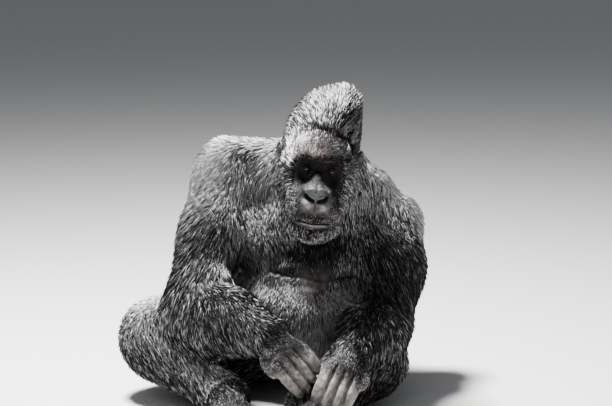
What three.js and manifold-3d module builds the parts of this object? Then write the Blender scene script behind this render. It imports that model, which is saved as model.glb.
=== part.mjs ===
// A silverback mountain gorilla at life size, sitting on the floor with its knees spread, its feet
// together in front and both hands hanging over its ankles. The head leans forward over the chest.
// Millimetres, +Z up. It faces -Y, so its right side is at -X. The surfaces are those of the coat's tips.
//
// The body is a set of smooth distance forms (balls, eggs and bones that melt together). Each named piece
// is a capsule or a sphere whose vertices are moved out from the piece's own axis until they meet the forms.
// Pieces are parted by thin flat cuts at the joints, and where two limbs press together one yields.
import * as THREE from "three";
import { mergeVertices } from "three/addons/utils/BufferGeometryUtils.js";
import Module from "manifold-3d";

const wasm = await Module();
wasm.setup();

// ---------------------------------------------------------------- driving dimensions

const JOINT_GAP = 0.5; // width of the cut between two pieces
const PRESS_GAP = 1; // clearance where one limb presses on another
const CUT_SIZE = 1500; // side of a block that trims everything past a plane
const OVERRUN = 40; // how far a piece is made past its joint before it is trimmed
const REACH = 420; // the farthest that a surface lies from its piece's axis
const STEP = 4; // march along a ray

// Joint centres. Right is the gorilla's own right, at -X.
const HIP_R = [-55, 120, 132];
const KNEE_R = [-294, -100, 165];
const ANKLE_R = [-118, -335, 66];
const BALL_R = [-80, -472, 40];
const HIP_L = [150, 115, 128];
const KNEE_L = [266, -178, 122];
const ANKLE_L = [96, -368, 62];
const BALL_L = [90, -505, 38];
const SHOULDER_R = [-122, -15, 574];
const ELBOW_R = [-210, -190, 266];
const WRIST_R = [-8, -390, 240];
const KNUCKLES_R = [46, -430, 190];
const SHOULDER_L = [319, 70, 446];
const UPPER_ARM_L = [318, -30, 345];
const ELBOW_L = [290, -168, 222];
const WRIST_L = [206, -372, 190];
const KNUCKLES_L = [180, -436, 148];

const HEAD_AT = [126, -231, 684]; // middle of the head, between the ears
const HEAD_PITCH = 12; // degrees that the face looks down
const HEAD_ROLL = 7.3; // degrees that the crown leans to the gorilla's left
const EYE = { x: 30, y: -76, z: -20, radius: 12.5 };

// ---------------------------------------------------------------- forms: distance from (x, y, z), negative inside

const clamp = (t) => Math.min(1, Math.max(0, t));
const mix = (a, b, t) => a + (b - a) * t;
const mixPoint = (a, b, t) => a.map((value, i) => mix(value, b[i], t));

/** A round lump. */
function ball([cx, cy, cz], radius) {
  return (x, y, z) => Math.hypot(x - cx, y - cy, z - cz) - radius;
}

/** An ellipsoid with its radii along X, Y and Z, turned by degrees about those axes. */
function egg(centre, [rx, ry, rz], [turnX, turnY, turnZ] = [0, 0, 0]) {
  const turn = new THREE.Euler(...[turnX, turnY, turnZ].map(THREE.MathUtils.degToRad));
  const m = new THREE.Matrix4().makeRotationFromEuler(turn).transpose().elements;
  return (px, py, pz) => {
    const [dx, dy, dz] = [px - centre[0], py - centre[1], pz - centre[2]];
    const x = m[0] * dx + m[4] * dy + m[8] * dz;
    const y = m[1] * dx + m[5] * dy + m[9] * dz;
    const z = m[2] * dx + m[6] * dy + m[10] * dz;
    const near = Math.hypot(x / rx, y / ry, z / rz);
    const slope = Math.hypot(x / (rx * rx), y / (ry * ry), z / (rz * rz));
    return slope < 1e-9 ? -Math.min(rx, ry, rz) : (near * (near - 1)) / slope;
  };
}

/** A limb length from a to b with a radius at each end. */
function bone(a, b, radiusA, radiusB) {
  const [ux, uy, uz] = [b[0] - a[0], b[1] - a[1], b[2] - a[2]];
  const square = ux * ux + uy * uy + uz * uz;
  return (x, y, z) => {
    const [dx, dy, dz] = [x - a[0], y - a[1], z - a[2]];
    const t = clamp((dx * ux + dy * uy + dz * uz) / square);
    return Math.hypot(dx - t * ux, dy - t * uy, dz - t * uz) - mix(radiusA, radiusB, t);
  };
}

/** Forms joined with a soft fillet of about the given size. */
function melt(size, ...forms) {
  return (x, y, z) => {
    let near = forms[0](x, y, z);
    for (let i = 1; i < forms.length; i++) {
      const other = forms[i](x, y, z);
      const share = clamp(0.5 + (0.5 * (near - other)) / size);
      near = mix(near, other, share) - size * share * (1 - share);
    }
    return near;
  };
}

/** A form with others pressed softly out of it. */
function dent(size, form, ...tools) {
  const negative = tools.map((tool) => (x, y, z) => -tool(x, y, z));
  return (x, y, z) => {
    let far = form(x, y, z);
    for (const tool of negative) {
      const other = tool(x, y, z);
      const share = clamp(0.5 - (0.5 * (far - other)) / size);
      far = mix(far, other, share) + size * share * (1 - share);
    }
    return far;
  };
}

/** A form that stops at flat planes, each {at, out}: material is kept on the side away from out. */
function stopAt(form, planes, overrun) {
  return (x, y, z) => {
    let far = form(x, y, z);
    for (const { at, out } of planes) {
      const past = (x - at[0]) * out[0] + (y - at[1]) * out[1] + (z - at[2]) * out[2];
      far = Math.max(far, past - overrun);
    }
    return far;
  };
}

/** A form given in the frame of a matrix. */
function posed(form, matrix) {
  const m = matrix.clone().invert().elements;
  return (x, y, z) =>
    form(
      m[0] * x + m[4] * y + m[8] * z + m[12],
      m[1] * x + m[5] * y + m[9] * z + m[13],
      m[2] * x + m[6] * y + m[10] * z + m[14],
    );
}

// ---------------------------------------------------------------- surfaces

/** Distance along a ray from the origin to the place where it leaves the form. */
function leaves(form, from, way) {
  const at = (t) => form(from.x + way.x * t, from.y + way.y * t, from.z + way.z * t);
  let far = STEP;
  while (far < REACH && at(far) < 0) far += STEP;
  let near = far - STEP;
  for (let i = 0; i < 12; i++) {
    const middle = (near + far) / 2;
    if (at(middle) < 0) near = middle;
    else far = middle;
  }
  return near;
}

/** A closed capsule whose vertices lie where rays from a curved axis leave the form. */
function wrap(form, axis, { around, along, cap }) {
  const curve = new THREE.CatmullRomCurve3(axis.map((p) => new THREE.Vector3(...p)));
  const start = curve.getPointAt(0);
  const chord = curve.getPointAt(1).sub(start).normalize();
  const geometry = new THREE.CapsuleGeometry(1, 1, cap, around, along);
  geometry.deleteAttribute("normal");
  geometry.deleteAttribute("uv");
  const merged = mergeVertices(geometry, 1e-4);
  const place = merged.getAttribute("position");
  const toChord = new THREE.Quaternion().setFromUnitVectors(new THREE.Vector3(0, 1, 0), chord);
  const way = new THREE.Vector3();
  for (let i = 0; i < place.count; i++) {
    way.fromBufferAttribute(place, i);
    const share = clamp(way.y + 0.5);
    way.y -= share - 0.5;
    const from = curve.getPointAt(share);
    way.normalize().applyQuaternion(toChord);
    const out = leaves(form, from, way);
    place.setXYZ(i, from.x + way.x * out, from.y + way.y * out, from.z + way.z * out);
  }
  return merged;
}

/** A closed ball whose vertices lie where rays from one point leave the form, drawn closer towards a way. */
function wrapRound(form, centre, towards, { detail, draw }) {
  const geometry = new THREE.IcosahedronGeometry(1, detail);
  geometry.deleteAttribute("normal");
  geometry.deleteAttribute("uv");
  const merged = mergeVertices(geometry, 1e-4);
  const place = merged.getAttribute("position");
  const from = new THREE.Vector3(...centre);
  const way = new THREE.Vector3();
  for (let i = 0; i < place.count; i++) {
    way.fromBufferAttribute(place, i).addScaledVector(towards, draw).normalize();
    const out = leaves(form, from, way);
    place.setXYZ(i, from.x + way.x * out, from.y + way.y * out, from.z + way.z * out);
  }
  return merged;
}

// ---------------------------------------------------------------- solids

function solidOf(geometry) {
  const bare = geometry.clone();
  bare.deleteAttribute("normal");
  bare.deleteAttribute("uv");
  const merged = mergeVertices(bare, 1e-3);
  return new wasm.Manifold(
    new wasm.Mesh({
      numProp: 3,
      vertProperties: merged.getAttribute("position").array,
      triVerts: new Uint32Array(merged.index.array),
    }),
  );
}

function geometryOf(solid) {
  const { vertProperties, triVerts } = solid.getMesh();
  return new THREE.BufferGeometry()
    .setAttribute("position", new THREE.BufferAttribute(new Float32Array(vertProperties), 3))
    .setIndex(new THREE.BufferAttribute(new Uint32Array(triVerts), 1));
}

/** The largest body of a solid, so that no sliver of a cut is kept. */
function largest(solid) {
  return solid.decompose().reduce((a, b) => (a.volume() > b.volume() ? a : b));
}

/** A block that covers everything past a plane, as far as width to each side of its point. */
function blockPast({ at, out, width = CUT_SIZE }, gap) {
  const block = new THREE.BoxGeometry(width, CUT_SIZE, width).translate(0, CUT_SIZE / 2 + gap, 0);
  const way = new THREE.Vector3(...out);
  block.applyQuaternion(new THREE.Quaternion().setFromUnitVectors(new THREE.Vector3(0, 1, 0), way));
  return solidOf(block.translate(...at));
}

/** Trims a solid at its joint planes, or the same allowance past them when it has been grown. */
function trim(solid, planes, grow) {
  return planes.reduce((kept, plane) => kept.subtract(blockPast(plane, grow - JOINT_GAP / 2)), solid);
}

const FLOOR = { at: [0, 0, 0], out: [0, 0, -1] };
const unit = (way) => new THREE.Vector3(...way).normalize().toArray();

/** A cut between two pieces across a way: inner trims the piece before it and outer the one past it. */
function joint(at, way, width) {
  const out = unit(way);
  return {
    inner: { at, out, width },
    outer: { at, out: out.map((c) => -c), width },
  };
}

/** A cut that halves the bend of a limb at its middle point. */
function bend(before, at, after) {
  const [a, b, c] = [before, at, after].map((point) => new THREE.Vector3(...point));
  const way = b.clone().sub(a).normalize().add(c.sub(b).normalize());
  return joint(at, way.toArray());
}

// ---------------------------------------------------------------- the body's forms

const headFrame = new THREE.Matrix4()
  .makeTranslation(...HEAD_AT)
  .multiply(new THREE.Matrix4().makeRotationY(THREE.MathUtils.degToRad(HEAD_ROLL)))
  .multiply(new THREE.Matrix4().makeRotationX(THREE.MathUtils.degToRad(HEAD_PITCH)));
const fromHead = (point) => new THREE.Vector3(...point).applyMatrix4(headFrame).toArray();
const turnHead = (way) => new THREE.Vector3(...way).transformDirection(headFrame).toArray();
const sides = [-1, 1];
const pair = (make) => sides.map(make);

/** Head in its own frame: x to the gorilla's left, -y where the face looks, z up. */
function headForm() {
  const skull = melt(
    40,
    egg([3, 36, 28], [80, 116, 96]),
    egg([10, 42, 92], [76, 100, 73], [-8, 0, 0]),
    egg([44, 40, 104], [44, 74, 66]),
    egg([2, 95, 10], [78, 70, 90]),
    ...pair((s) => egg([s * 62, 22, -46], [44, 62, 90], [0, s * 5, 0])),
  );
  const brow = melt(20, bone([-45, -64, 17], [45, -64, 17], 32, 32), ball([0, -72, 14], 29));
  const lips = melt(34, bone([0, -40, -96], [0, -88, -102], 74, 64), egg([0, -98, -108], [66, 60, 48]));
  const jaw = melt(
    30,
    egg([0, -80, -174], [54, 52, 46]),
    ...pair((s) => bone([s * 62, 0, -102], [s * 34, -64, -162], 48, 42)),
  );
  const muzzle = melt(22, lips, jaw);
  const cheeks = pair((s) => egg([s * 60, -32, -46], [42, 48, 58]));
  const nose = melt(
    16,
    bone([0, -84, -12], [0, -130, -46], 16, 20),
    ball([0, -138, -56], 20),
    ...pair((s) => egg([s * 21, -134, -64], [18, 24, 19])),
  );
  const face = melt(22, melt(30, melt(30, skull, brow), melt(26, muzzle, ...cheeks)), nose);
  const sockets = pair((s) => egg([s * EYE.x, EYE.y - 26, EYE.z - 3], [20, 24, 17]));
  const nostrils = pair((s) => egg([s * 15, -160, -66], [9, 15, 8]));
  return dent(8, dent(14, face, ...sockets), ...nostrils);
}

const head = posed(headForm(), headFrame);

const neck = melt(
  70,
  bone(fromHead([0, 80, 24]), [100, 60, 572], 90, 102),
  bone(fromHead([0, 22, -80]), [110, -30, 540], 78, 98),
);

const yoke = melt(
  60,
  bone([150, -20, 630], [240, 40, 560], 84, 76),
  bone([80, -5, 586], [-108, 18, 608], 88, 88),
);

const chest = melt(
  60,
  egg([88, 58, 430], [200, 162, 180], [0, 8, 0]),
  egg([14, 128, 515], [190, 112, 142], [0, 10, 0]),
  egg([28, -78, 420], [112, 92, 92], [0, 6, 0]),
  egg([168, -62, 400], [108, 92, 90], [0, 10, 0]),
);

const belly = egg([70, -30, 225], [192, 196, 158]);
const rump = melt(
  70,
  egg([56, 125, 290], [198, 158, 190]),
  egg([50, 140, 150], [205, 166, 165]),
  egg([-30, 170, 95], [130, 120, 110]),
  egg([128, 170, 95], [130, 120, 110]),
);
const trunkCore = melt(50, melt(70, chest, yoke), melt(70, belly, rump));
const upperArmR = melt(
  40,
  bone(SHOULDER_R, ELBOW_R, 88, 74),
  ball(SHOULDER_R, 87),
  ball(mixPoint(SHOULDER_R, ELBOW_R, 0.4), 92),
);
const forearmR = melt(
  30,
  bone(ELBOW_R, mixPoint(ELBOW_R, WRIST_R, 0.45), 76, 88),
  bone(mixPoint(ELBOW_R, WRIST_R, 0.4), WRIST_R, 88, 50),
);
const upperArmL = melt(
  40,
  bone(SHOULDER_L, UPPER_ARM_L, 80, 88),
  ball(SHOULDER_L, 82),
  bone(UPPER_ARM_L, ELBOW_L, 90, 70),
);
const forearmL = melt(
  30,
  bone(ELBOW_L, mixPoint(ELBOW_L, WRIST_L, 0.4), 74, 80),
  bone(mixPoint(ELBOW_L, WRIST_L, 0.4), WRIST_L, 80, 48),
);
const thighR = bone(HIP_R, KNEE_R, 142, 118);
const thighL = bone(HIP_L, KNEE_L, 136, 90);
const shinR = melt(
  30,
  bone(KNEE_R, mixPoint(KNEE_R, ANKLE_R, 0.35), 108, 86),
  bone(mixPoint(KNEE_R, ANKLE_R, 0.35), ANKLE_R, 86, 54),
);
const shinL = melt(
  30,
  bone(KNEE_L, mixPoint(KNEE_L, ANKLE_L, 0.35), 86, 78),
  bone(mixPoint(KNEE_L, ANKLE_L, 0.35), ANKLE_L, 78, 52),
);

/** A foot from its ankle to the ball, with the heel behind. */
function footForm(ankle, ballOfFoot) {
  const away = new THREE.Vector3(...ballOfFoot).sub(new THREE.Vector3(...ankle)).setZ(0).normalize();
  const heel = new THREE.Vector3(...ankle).addScaledVector(away, -34).setZ(36).toArray();
  const across = new THREE.Vector3(-away.y, away.x, 0);
  const widest = (reach) =>
    new THREE.Vector3(...ballOfFoot).addScaledVector(across, reach).setZ(30).toArray();
  return melt(
    22,
    ball(heel, 42),
    bone(ankle, mixPoint(ankle, ballOfFoot, 0.6), 50, 34),
    bone(heel, widest(-22), 38, 28),
    bone(heel, widest(22), 38, 28),
  );
}

const footR = footForm(ANKLE_R, BALL_R);
const footL = footForm(ANKLE_L, BALL_L);

// ---------------------------------------------------------------- joints

const cuts = {
  headNeck: joint(fromHead([0, 84, -50]), turnHead([0, -0.8, 0.6])),
  neckTrunk: joint([118, -58, 600], [0.1, -0.85, 0.52]),
  shoulderR: joint([-112, -20, 560], [-0.94, -0.3, 0.1], 540),
  shoulderL: joint([272, 40, 430], [0.96, -0.22, 0.12], 480),
  elbowR: bend(SHOULDER_R, ELBOW_R, WRIST_R),
  elbowL: bend(UPPER_ARM_L, ELBOW_L, WRIST_L),
  wristR: bend(ELBOW_R, WRIST_R, KNUCKLES_R),
  wristL: bend(ELBOW_L, WRIST_L, KNUCKLES_L),
  kneeR: bend(HIP_R, KNEE_R, ANKLE_R),
  kneeL: bend(HIP_L, KNEE_L, ANKLE_L),
  ankleR: bend(KNEE_R, ANKLE_R, BALL_R),
  ankleL: bend(KNEE_L, ANKLE_L, BALL_L),
};

// ---------------------------------------------------------------- hands

/** A hand: the palm from wrist to knuckles and five curled digits, for one side of the body. */
function handSolid({ wrist, knuckles, back, side, grow }) {
  const palmWay = new THREE.Vector3(...knuckles).sub(new THREE.Vector3(...wrist));
  const away = palmWay.clone().normalize();
  const up = new THREE.Vector3(...back).addScaledVector(away, -away.dot(new THREE.Vector3(...back)));
  up.normalize();
  const thumbward = new THREE.Vector3().crossVectors(up, away).multiplyScalar(side);
  const spot = (from, ...steps) =>
    steps
      .reduce((p, [way, reach]) => p.addScaledVector(way, reach), new THREE.Vector3(...from))
      .toArray();
  const palm = melt(
    14,
    bone(wrist, mixPoint(wrist, knuckles, 0.5), 42 + grow, 34 + grow),
    ...[-36, -12, 12, 36].map((reach) =>
      bone(mixPoint(wrist, knuckles, 0.3), spot(knuckles, [thumbward, reach]), 32 + grow, 21 + grow),
    ),
  );
  const curl = (turn) => away.clone().applyAxisAngle(thumbward, side * turn);
  const fingers = [-36, -12, 12, 36].map((reach, i) => {
    const length = [0.84, 1, 1, 0.9][i];
    const first = spot(knuckles, [thumbward, reach]);
    const second = spot(first, [curl(0.35), 46 * length], [thumbward, reach * 0.06]);
    const third = spot(second, [curl(0.95), 36 * length]);
    const tip = spot(third, [curl(1.45), 22 * length]);
    const form = melt(
      6,
      bone(first, second, 19 + grow, 17 + grow),
      bone(second, third, 17 + grow, 15.5 + grow),
      bone(third, tip, 15.5 + grow, 13 + grow),
    );
    return solidOf(wrap(form, [first, second, third, tip], { around: 6, along: 3, cap: 1 }));
  });
  const thumbRoot = spot(mixPoint(wrist, knuckles, 0.35), [thumbward, 26]);
  const thumbJoint = spot(thumbRoot, [thumbward, 26], [away, 26]);
  const thumbTip = spot(thumbJoint, [thumbward, 6], [away, 34]);
  const thumbForm = melt(
    6,
    bone(thumbRoot, thumbJoint, 19 + grow, 15 + grow),
    bone(thumbJoint, thumbTip, 15 + grow, 12 + grow),
  );
  const thumb = solidOf(wrap(thumbForm, [thumbRoot, thumbJoint, thumbTip], { around: 6, along: 2, cap: 1 }));
  const forearm = bone(spot(wrist, [away, -60]), wrist, 46 + grow, 44 + grow);
  const start = spot(wrist, [away, -20]);
  const body = wrap(melt(16, palm, forearm), [start, mixPoint(wrist, knuckles, 0.9)], {
    around: 10,
    along: 3,
    cap: 2,
  });
  return [...fingers, thumb].reduce((a, b) => a.add(b), solidOf(body));
}

/** A foot with its toes: four short ones and a big one set apart on the inner side. */
function footSolid({ form, shin, ankle, ballOfFoot, side, grow }) {
  const away = new THREE.Vector3(...ballOfFoot).sub(new THREE.Vector3(...ankle)).setZ(0).normalize();
  const inward = new THREE.Vector3(-away.y, away.x, 0).multiplyScalar(side);
  const spot = (from, forward, sideways, height) =>
    new THREE.Vector3(...from)
      .addScaledVector(away, forward)
      .addScaledVector(inward, sideways)
      .setZ(height)
      .toArray();
  const toes = [-40, -20, 0, 20].map((sideways, i) => {
    const length = [36, 44, 48, 48][i];
    const root = spot(ballOfFoot, -8, sideways, 26);
    const knuckle = spot(ballOfFoot, length * 0.6, sideways * 1.06, 28);
    const tip = spot(ballOfFoot, length, sideways * 1.08, 16);
    const form = melt(5, bone(root, knuckle, 16 + grow, 15 + grow), bone(knuckle, tip, 15 + grow, 12 + grow));
    return solidOf(wrap(form, [root, knuckle, tip], { around: 6, along: 2, cap: 1 }));
  });
  const bigRoot = spot(mixPoint(ankle, ballOfFoot, 0.45), 0, 34, 28);
  const bigKnuckle = spot(mixPoint(ankle, ballOfFoot, 0.45), 40, 56, 28);
  const bigTip = spot(mixPoint(ankle, ballOfFoot, 0.45), 76, 64, 18);
  const big = melt(
    8,
    bone(bigRoot, bigKnuckle, 24 + grow, 19 + grow),
    bone(bigKnuckle, bigTip, 19 + grow, 15 + grow),
  );
  const bigToe = solidOf(wrap(big, [bigRoot, bigKnuckle, bigTip], { around: 7, along: 3, cap: 1 }));
  const body = wrap(melt(24, form, shin), [mixPoint(ankle, ballOfFoot, -0.2), ballOfFoot], {
    around: 12,
    along: 4,
    cap: 2,
  });
  return [...toes, bigToe].reduce((a, b) => a.add(b), solidOf(body));
}

// ---------------------------------------------------------------- pieces

const limb = { around: 13, along: 5, cap: 3 };

/** Each piece makes its solid, grown by an allowance when it presses into a neighbour. */
const pieces = {
  head: {
    planes: [cuts.headNeck.outer],
    make: (grow) => {
      const whole = melt(40, head, neck);
      const form = stopAt((x, y, z) => whole(x, y, z) - grow, [cuts.headNeck.outer], OVERRUN);
      const face = new THREE.Vector3(...turnHead([0, -0.94, -0.34]));
      return solidOf(wrapRound(form, fromHead([0, -22, -34]), face, { detail: 8, draw: 0.5 }));
    },
  },
  neck: {
    planes: [cuts.headNeck.inner, cuts.neckTrunk.outer, cuts.shoulderR.inner, cuts.shoulderL.inner],
    form: melt(50, head, neck, trunkCore, upperArmR, upperArmL),
    axis: [fromHead([0, 66, -40]), [112, -50, 598]],
    mesh: { around: 22, along: 4, cap: 3 },
  },
  trunk: {
    planes: [cuts.neckTrunk.inner, cuts.shoulderR.inner, cuts.shoulderL.inner, FLOOR],
    form: melt(45, trunkCore, neck, upperArmR, upperArmL),
    axis: [
      [52, 100, 130],
      [70, 30, 300],
      [84, 50, 540],
    ],
    mesh: { around: 25, along: 9, cap: 6 },
  },
  upper_arm_right: {
    planes: [cuts.shoulderR.outer, cuts.elbowR.inner],
    form: melt(45, trunkCore, melt(30, upperArmR, forearmR)),
    axis: [SHOULDER_R, ELBOW_R].map(([x, y, z]) => [x - 8, y, z]),
    mesh: { around: 16, along: 6, cap: 5 },
  },
  upper_arm_left: {
    planes: [cuts.shoulderL.outer, cuts.elbowL.inner],
    form: melt(45, trunkCore, melt(30, upperArmL, forearmL)),
    axis: [SHOULDER_L, UPPER_ARM_L, ELBOW_L],
    mesh: { around: 16, along: 6, cap: 5 },
  },
  forearm_right: {
    planes: [cuts.elbowR.outer, cuts.wristR.inner],
    form: melt(30, upperArmR, forearmR, bone(WRIST_R, KNUCKLES_R, 44, 34)),
    axis: [ELBOW_R, WRIST_R],
    mesh: limb,
  },
  forearm_left: {
    planes: [cuts.elbowL.outer, cuts.wristL.inner],
    form: melt(30, upperArmL, forearmL, bone(WRIST_L, KNUCKLES_L, 44, 34)),
    axis: [ELBOW_L, WRIST_L],
    mesh: limb,
  },
  hand_right: {
    planes: [cuts.wristR.outer],
    make: (grow) =>
      handSolid({ wrist: WRIST_R, knuckles: KNUCKLES_R, back: [-0.1, -0.9, 0.4], side: -1, grow }),
  },
  hand_left: {
    planes: [cuts.wristL.outer],
    make: (grow) =>
      handSolid({ wrist: WRIST_L, knuckles: KNUCKLES_L, back: [0.1, -0.9, 0.4], side: 1, grow }),
  },
  thigh_right: {
    planes: [cuts.kneeR.inner, FLOOR],
    form: melt(30, thighR, shinR),
    axis: [mixPoint(HIP_R, KNEE_R, 0.35), KNEE_R],
    mesh: limb,
  },
  thigh_left: {
    planes: [cuts.kneeL.inner, FLOOR],
    form: melt(30, thighL, shinL),
    axis: [mixPoint(HIP_L, KNEE_L, 0.5), KNEE_L],
    mesh: limb,
  },
  shin_right: {
    planes: [cuts.kneeR.outer, cuts.ankleR.inner, FLOOR],
    form: melt(30, thighR, shinR, footR),
    axis: [KNEE_R, ANKLE_R],
    mesh: limb,
  },
  shin_left: {
    planes: [cuts.kneeL.outer, cuts.ankleL.inner, FLOOR],
    form: melt(30, thighL, shinL, footL),
    axis: [KNEE_L, ANKLE_L],
    mesh: limb,
  },
  foot_right: {
    planes: [cuts.ankleR.outer, FLOOR],
    make: (grow) =>
      footSolid({ form: footR, shin: shinR, ankle: ANKLE_R, ballOfFoot: BALL_R, side: 1, grow }),
  },
  foot_left: {
    planes: [cuts.ankleL.outer, FLOOR],
    make: (grow) =>
      footSolid({ form: footL, shin: shinL, ankle: ANKLE_L, ballOfFoot: BALL_L, side: -1, grow }),
  },
};

/** Where limbs press together the firm piece keeps its shape and the others give way. */
const presses = {
  head: ["trunk"],
  trunk: ["thigh_right", "thigh_left", "shin_right", "shin_left"],
  upper_arm_right: ["trunk", "thigh_right", "shin_right"],
  upper_arm_left: ["trunk", "thigh_left", "shin_left"],
  forearm_right: ["trunk", "thigh_right", "shin_right"],
  forearm_left: ["trunk", "thigh_left", "shin_left"],
  hand_right: ["hand_left", "forearm_left", "trunk", "shin_right", "shin_left", "foot_right", "foot_left"],
  hand_left: ["trunk", "shin_right", "shin_left", "foot_right", "foot_left"],
  thigh_right: ["thigh_left", "shin_right"],
  thigh_left: ["shin_left"],
  shin_right: ["foot_left", "shin_left"],
  shin_left: ["foot_right"],
  foot_right: ["foot_left"],
};

/** A piece before its neighbours press on it. */
function makePiece({ planes, form, axis, mesh, make }, grow) {
  const raw = make
    ? make(grow)
    : solidOf(wrap(stopAt((x, y, z) => form(x, y, z) - grow, planes, OVERRUN), axis, mesh));
  return trim(raw, planes, grow);
}

const solids = {};
for (const [name, piece] of Object.entries(pieces)) solids[name] = makePiece(piece, 0);
for (const [firm, softer] of Object.entries(presses)) {
  const grown = makePiece(pieces[firm], PRESS_GAP);
  for (const soft of softer) {
    const touching = solids[soft].intersect(grown).volume() > 0;
    if (touching) solids[soft] = largest(solids[soft].subtract(grown));
  }
}

// ---------------------------------------------------------------- ears and eyes

function earSolid(side, grow) {
  const shell = egg([side * 104, 22, -18], [14 + grow, 19 + grow, 27 + grow], [0, side * -6, side * -24]);
  const bowl = egg([side * 120, 10, -16], [12, 12, 16], [0, 0, side * -24]);
  const axis = [fromHead([side * 101, 24, -30]), fromHead([side * 101, 24, -6])];
  return solidOf(wrap(posed(dent(6, shell, bowl), headFrame), axis, { around: 8, along: 2, cap: 3 }));
}

function eyeSolid(side, grow) {
  const eye = new THREE.SphereGeometry(EYE.radius + grow, 10, 7);
  return solidOf(eye.translate(...fromHead([side * EYE.x, EYE.y, EYE.z])));
}

for (const side of sides) {
  const hand = side < 0 ? "right" : "left";
  solids.head = solids.head.subtract(eyeSolid(side, JOINT_GAP));
  solids[`ear_${hand}`] = earSolid(side, 0);
  solids.head = solids.head.subtract(earSolid(side, JOINT_GAP));
  solids[`eye_${hand}`] = eyeSolid(side, 0);
}

// ---------------------------------------------------------------- materials and scene

const finishes = {
  coat: new THREE.MeshStandardMaterial({ color: 0x34363a, roughness: 0.8, metalness: 0 }),
  silver: new THREE.MeshStandardMaterial({ color: 0x77787a, roughness: 0.8, metalness: 0 }),
  hide: new THREE.MeshStandardMaterial({ color: 0x1d1d1f, roughness: 0.5, metalness: 0 }),
  eye: new THREE.MeshStandardMaterial({ color: 0x2a170c, roughness: 0.15, metalness: 0 }),
};
const finishOf = (name) => {
  if (name.startsWith("eye")) return finishes.eye;
  if (/^(hand|foot|ear)/.test(name)) return finishes.hide;
  if (/^(trunk|thigh|upper_arm)/.test(name)) return finishes.silver;
  return finishes.coat;
};

const gorilla = new THREE.Group();
for (const [name, solid] of Object.entries(solids)) {
  const mesh = new THREE.Mesh(geometryOf(largest(solid)), finishOf(name));
  mesh.name = name;
  gorilla.add(mesh);
}

// The origin is the middle of the base, under the centre of the body's box.
const box = new THREE.Box3().setFromObject(gorilla);
const middle = box.getCenter(new THREE.Vector3());
gorilla.position.set(-middle.x, -middle.y, -box.min.z);

export default gorilla;
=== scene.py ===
"""A seated silverback gorilla, life size: one skin, a coat of solid tufts, eyes, ears and nails."""

import logging
import math
from dataclasses import dataclass, field
from enum import Enum

import bmesh
import bpy
import numpy as np
from mathutils import Matrix, Vector
from mathutils.bvhtree import BVHTree
from mathutils.kdtree import KDTree


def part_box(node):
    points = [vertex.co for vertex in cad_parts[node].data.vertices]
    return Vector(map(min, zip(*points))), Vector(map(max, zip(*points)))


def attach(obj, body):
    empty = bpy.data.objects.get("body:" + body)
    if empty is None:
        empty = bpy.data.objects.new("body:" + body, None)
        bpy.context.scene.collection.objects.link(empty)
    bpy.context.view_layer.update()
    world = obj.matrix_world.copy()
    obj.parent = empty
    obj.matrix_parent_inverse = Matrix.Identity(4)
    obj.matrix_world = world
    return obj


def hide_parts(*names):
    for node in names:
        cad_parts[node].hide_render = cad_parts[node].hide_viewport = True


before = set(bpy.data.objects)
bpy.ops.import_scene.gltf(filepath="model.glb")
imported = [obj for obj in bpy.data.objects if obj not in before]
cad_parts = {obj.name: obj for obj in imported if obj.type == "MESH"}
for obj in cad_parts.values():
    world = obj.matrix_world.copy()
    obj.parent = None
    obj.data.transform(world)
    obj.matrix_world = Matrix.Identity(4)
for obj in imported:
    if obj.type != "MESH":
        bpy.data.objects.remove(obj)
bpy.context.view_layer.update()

log = logging.getLogger("gorilla")

Array = np.ndarray
Point = tuple[float, float, float]
MM = 0.001
FLOOR_GAP = 0.0004
WAVE_COUNT = 9
SIDES = {"right": -1, "left": 1}


class Part(Enum):
    """The nodes of flesh that the one skin stands for."""

    HEAD = "head"
    NECK = "neck"
    TRUNK = "trunk"
    UPPER_ARM_RIGHT = "upper_arm_right"
    UPPER_ARM_LEFT = "upper_arm_left"
    FOREARM_RIGHT = "forearm_right"
    FOREARM_LEFT = "forearm_left"
    HAND_RIGHT = "hand_right"
    HAND_LEFT = "hand_left"
    THIGH_RIGHT = "thigh_right"
    THIGH_LEFT = "thigh_left"
    SHIN_RIGHT = "shin_right"
    SHIN_LEFT = "shin_left"
    FOOT_RIGHT = "foot_right"
    FOOT_LEFT = "foot_left"


class Limb(Enum):
    """The kinds of part that share a way of growing hair."""

    HEAD = "head"
    NECK = "neck"
    TRUNK = "trunk"
    UPPER_ARM = "upper_arm"
    FOREARM = "forearm"
    HAND = "hand"
    THIGH = "thigh"
    SHIN = "shin"
    FOOT = "foot"


PARTS = list(Part)


# ---------------------------------------------------------------- numbers


def smooth(value: Array, low: float, high: float) -> Array:
    """A soft step from 0 at low to 1 at high."""
    t = np.clip((value - low) / (high - low), 0.0, 1.0)
    return t * t * (3.0 - 2.0 * t)


def near(distance: Array, reach: float) -> Array:
    """A soft bump: 1 at no distance, fading out over reach."""
    return np.exp(-((distance / reach) ** 2))


def unit(ways: Array) -> Array:
    """The same directions with a length of 1."""
    return ways / np.maximum(np.linalg.norm(ways, axis=-1, keepdims=True), 1e-9)


def laid(ways: Array, normals: Array) -> Array:
    """Directions laid along a surface."""
    return unit(ways - normals * (ways * normals).sum(axis=1, keepdims=True))


def square_to(axis: Array, way: Array) -> Array:
    """A direction turned until it stands square to an axis."""
    return unit(way - axis * (axis @ way))


def blend(a: Array, b: Array, share: Array) -> Array:
    """Values between a and b, by share."""
    return a + (b - a) * share


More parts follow.
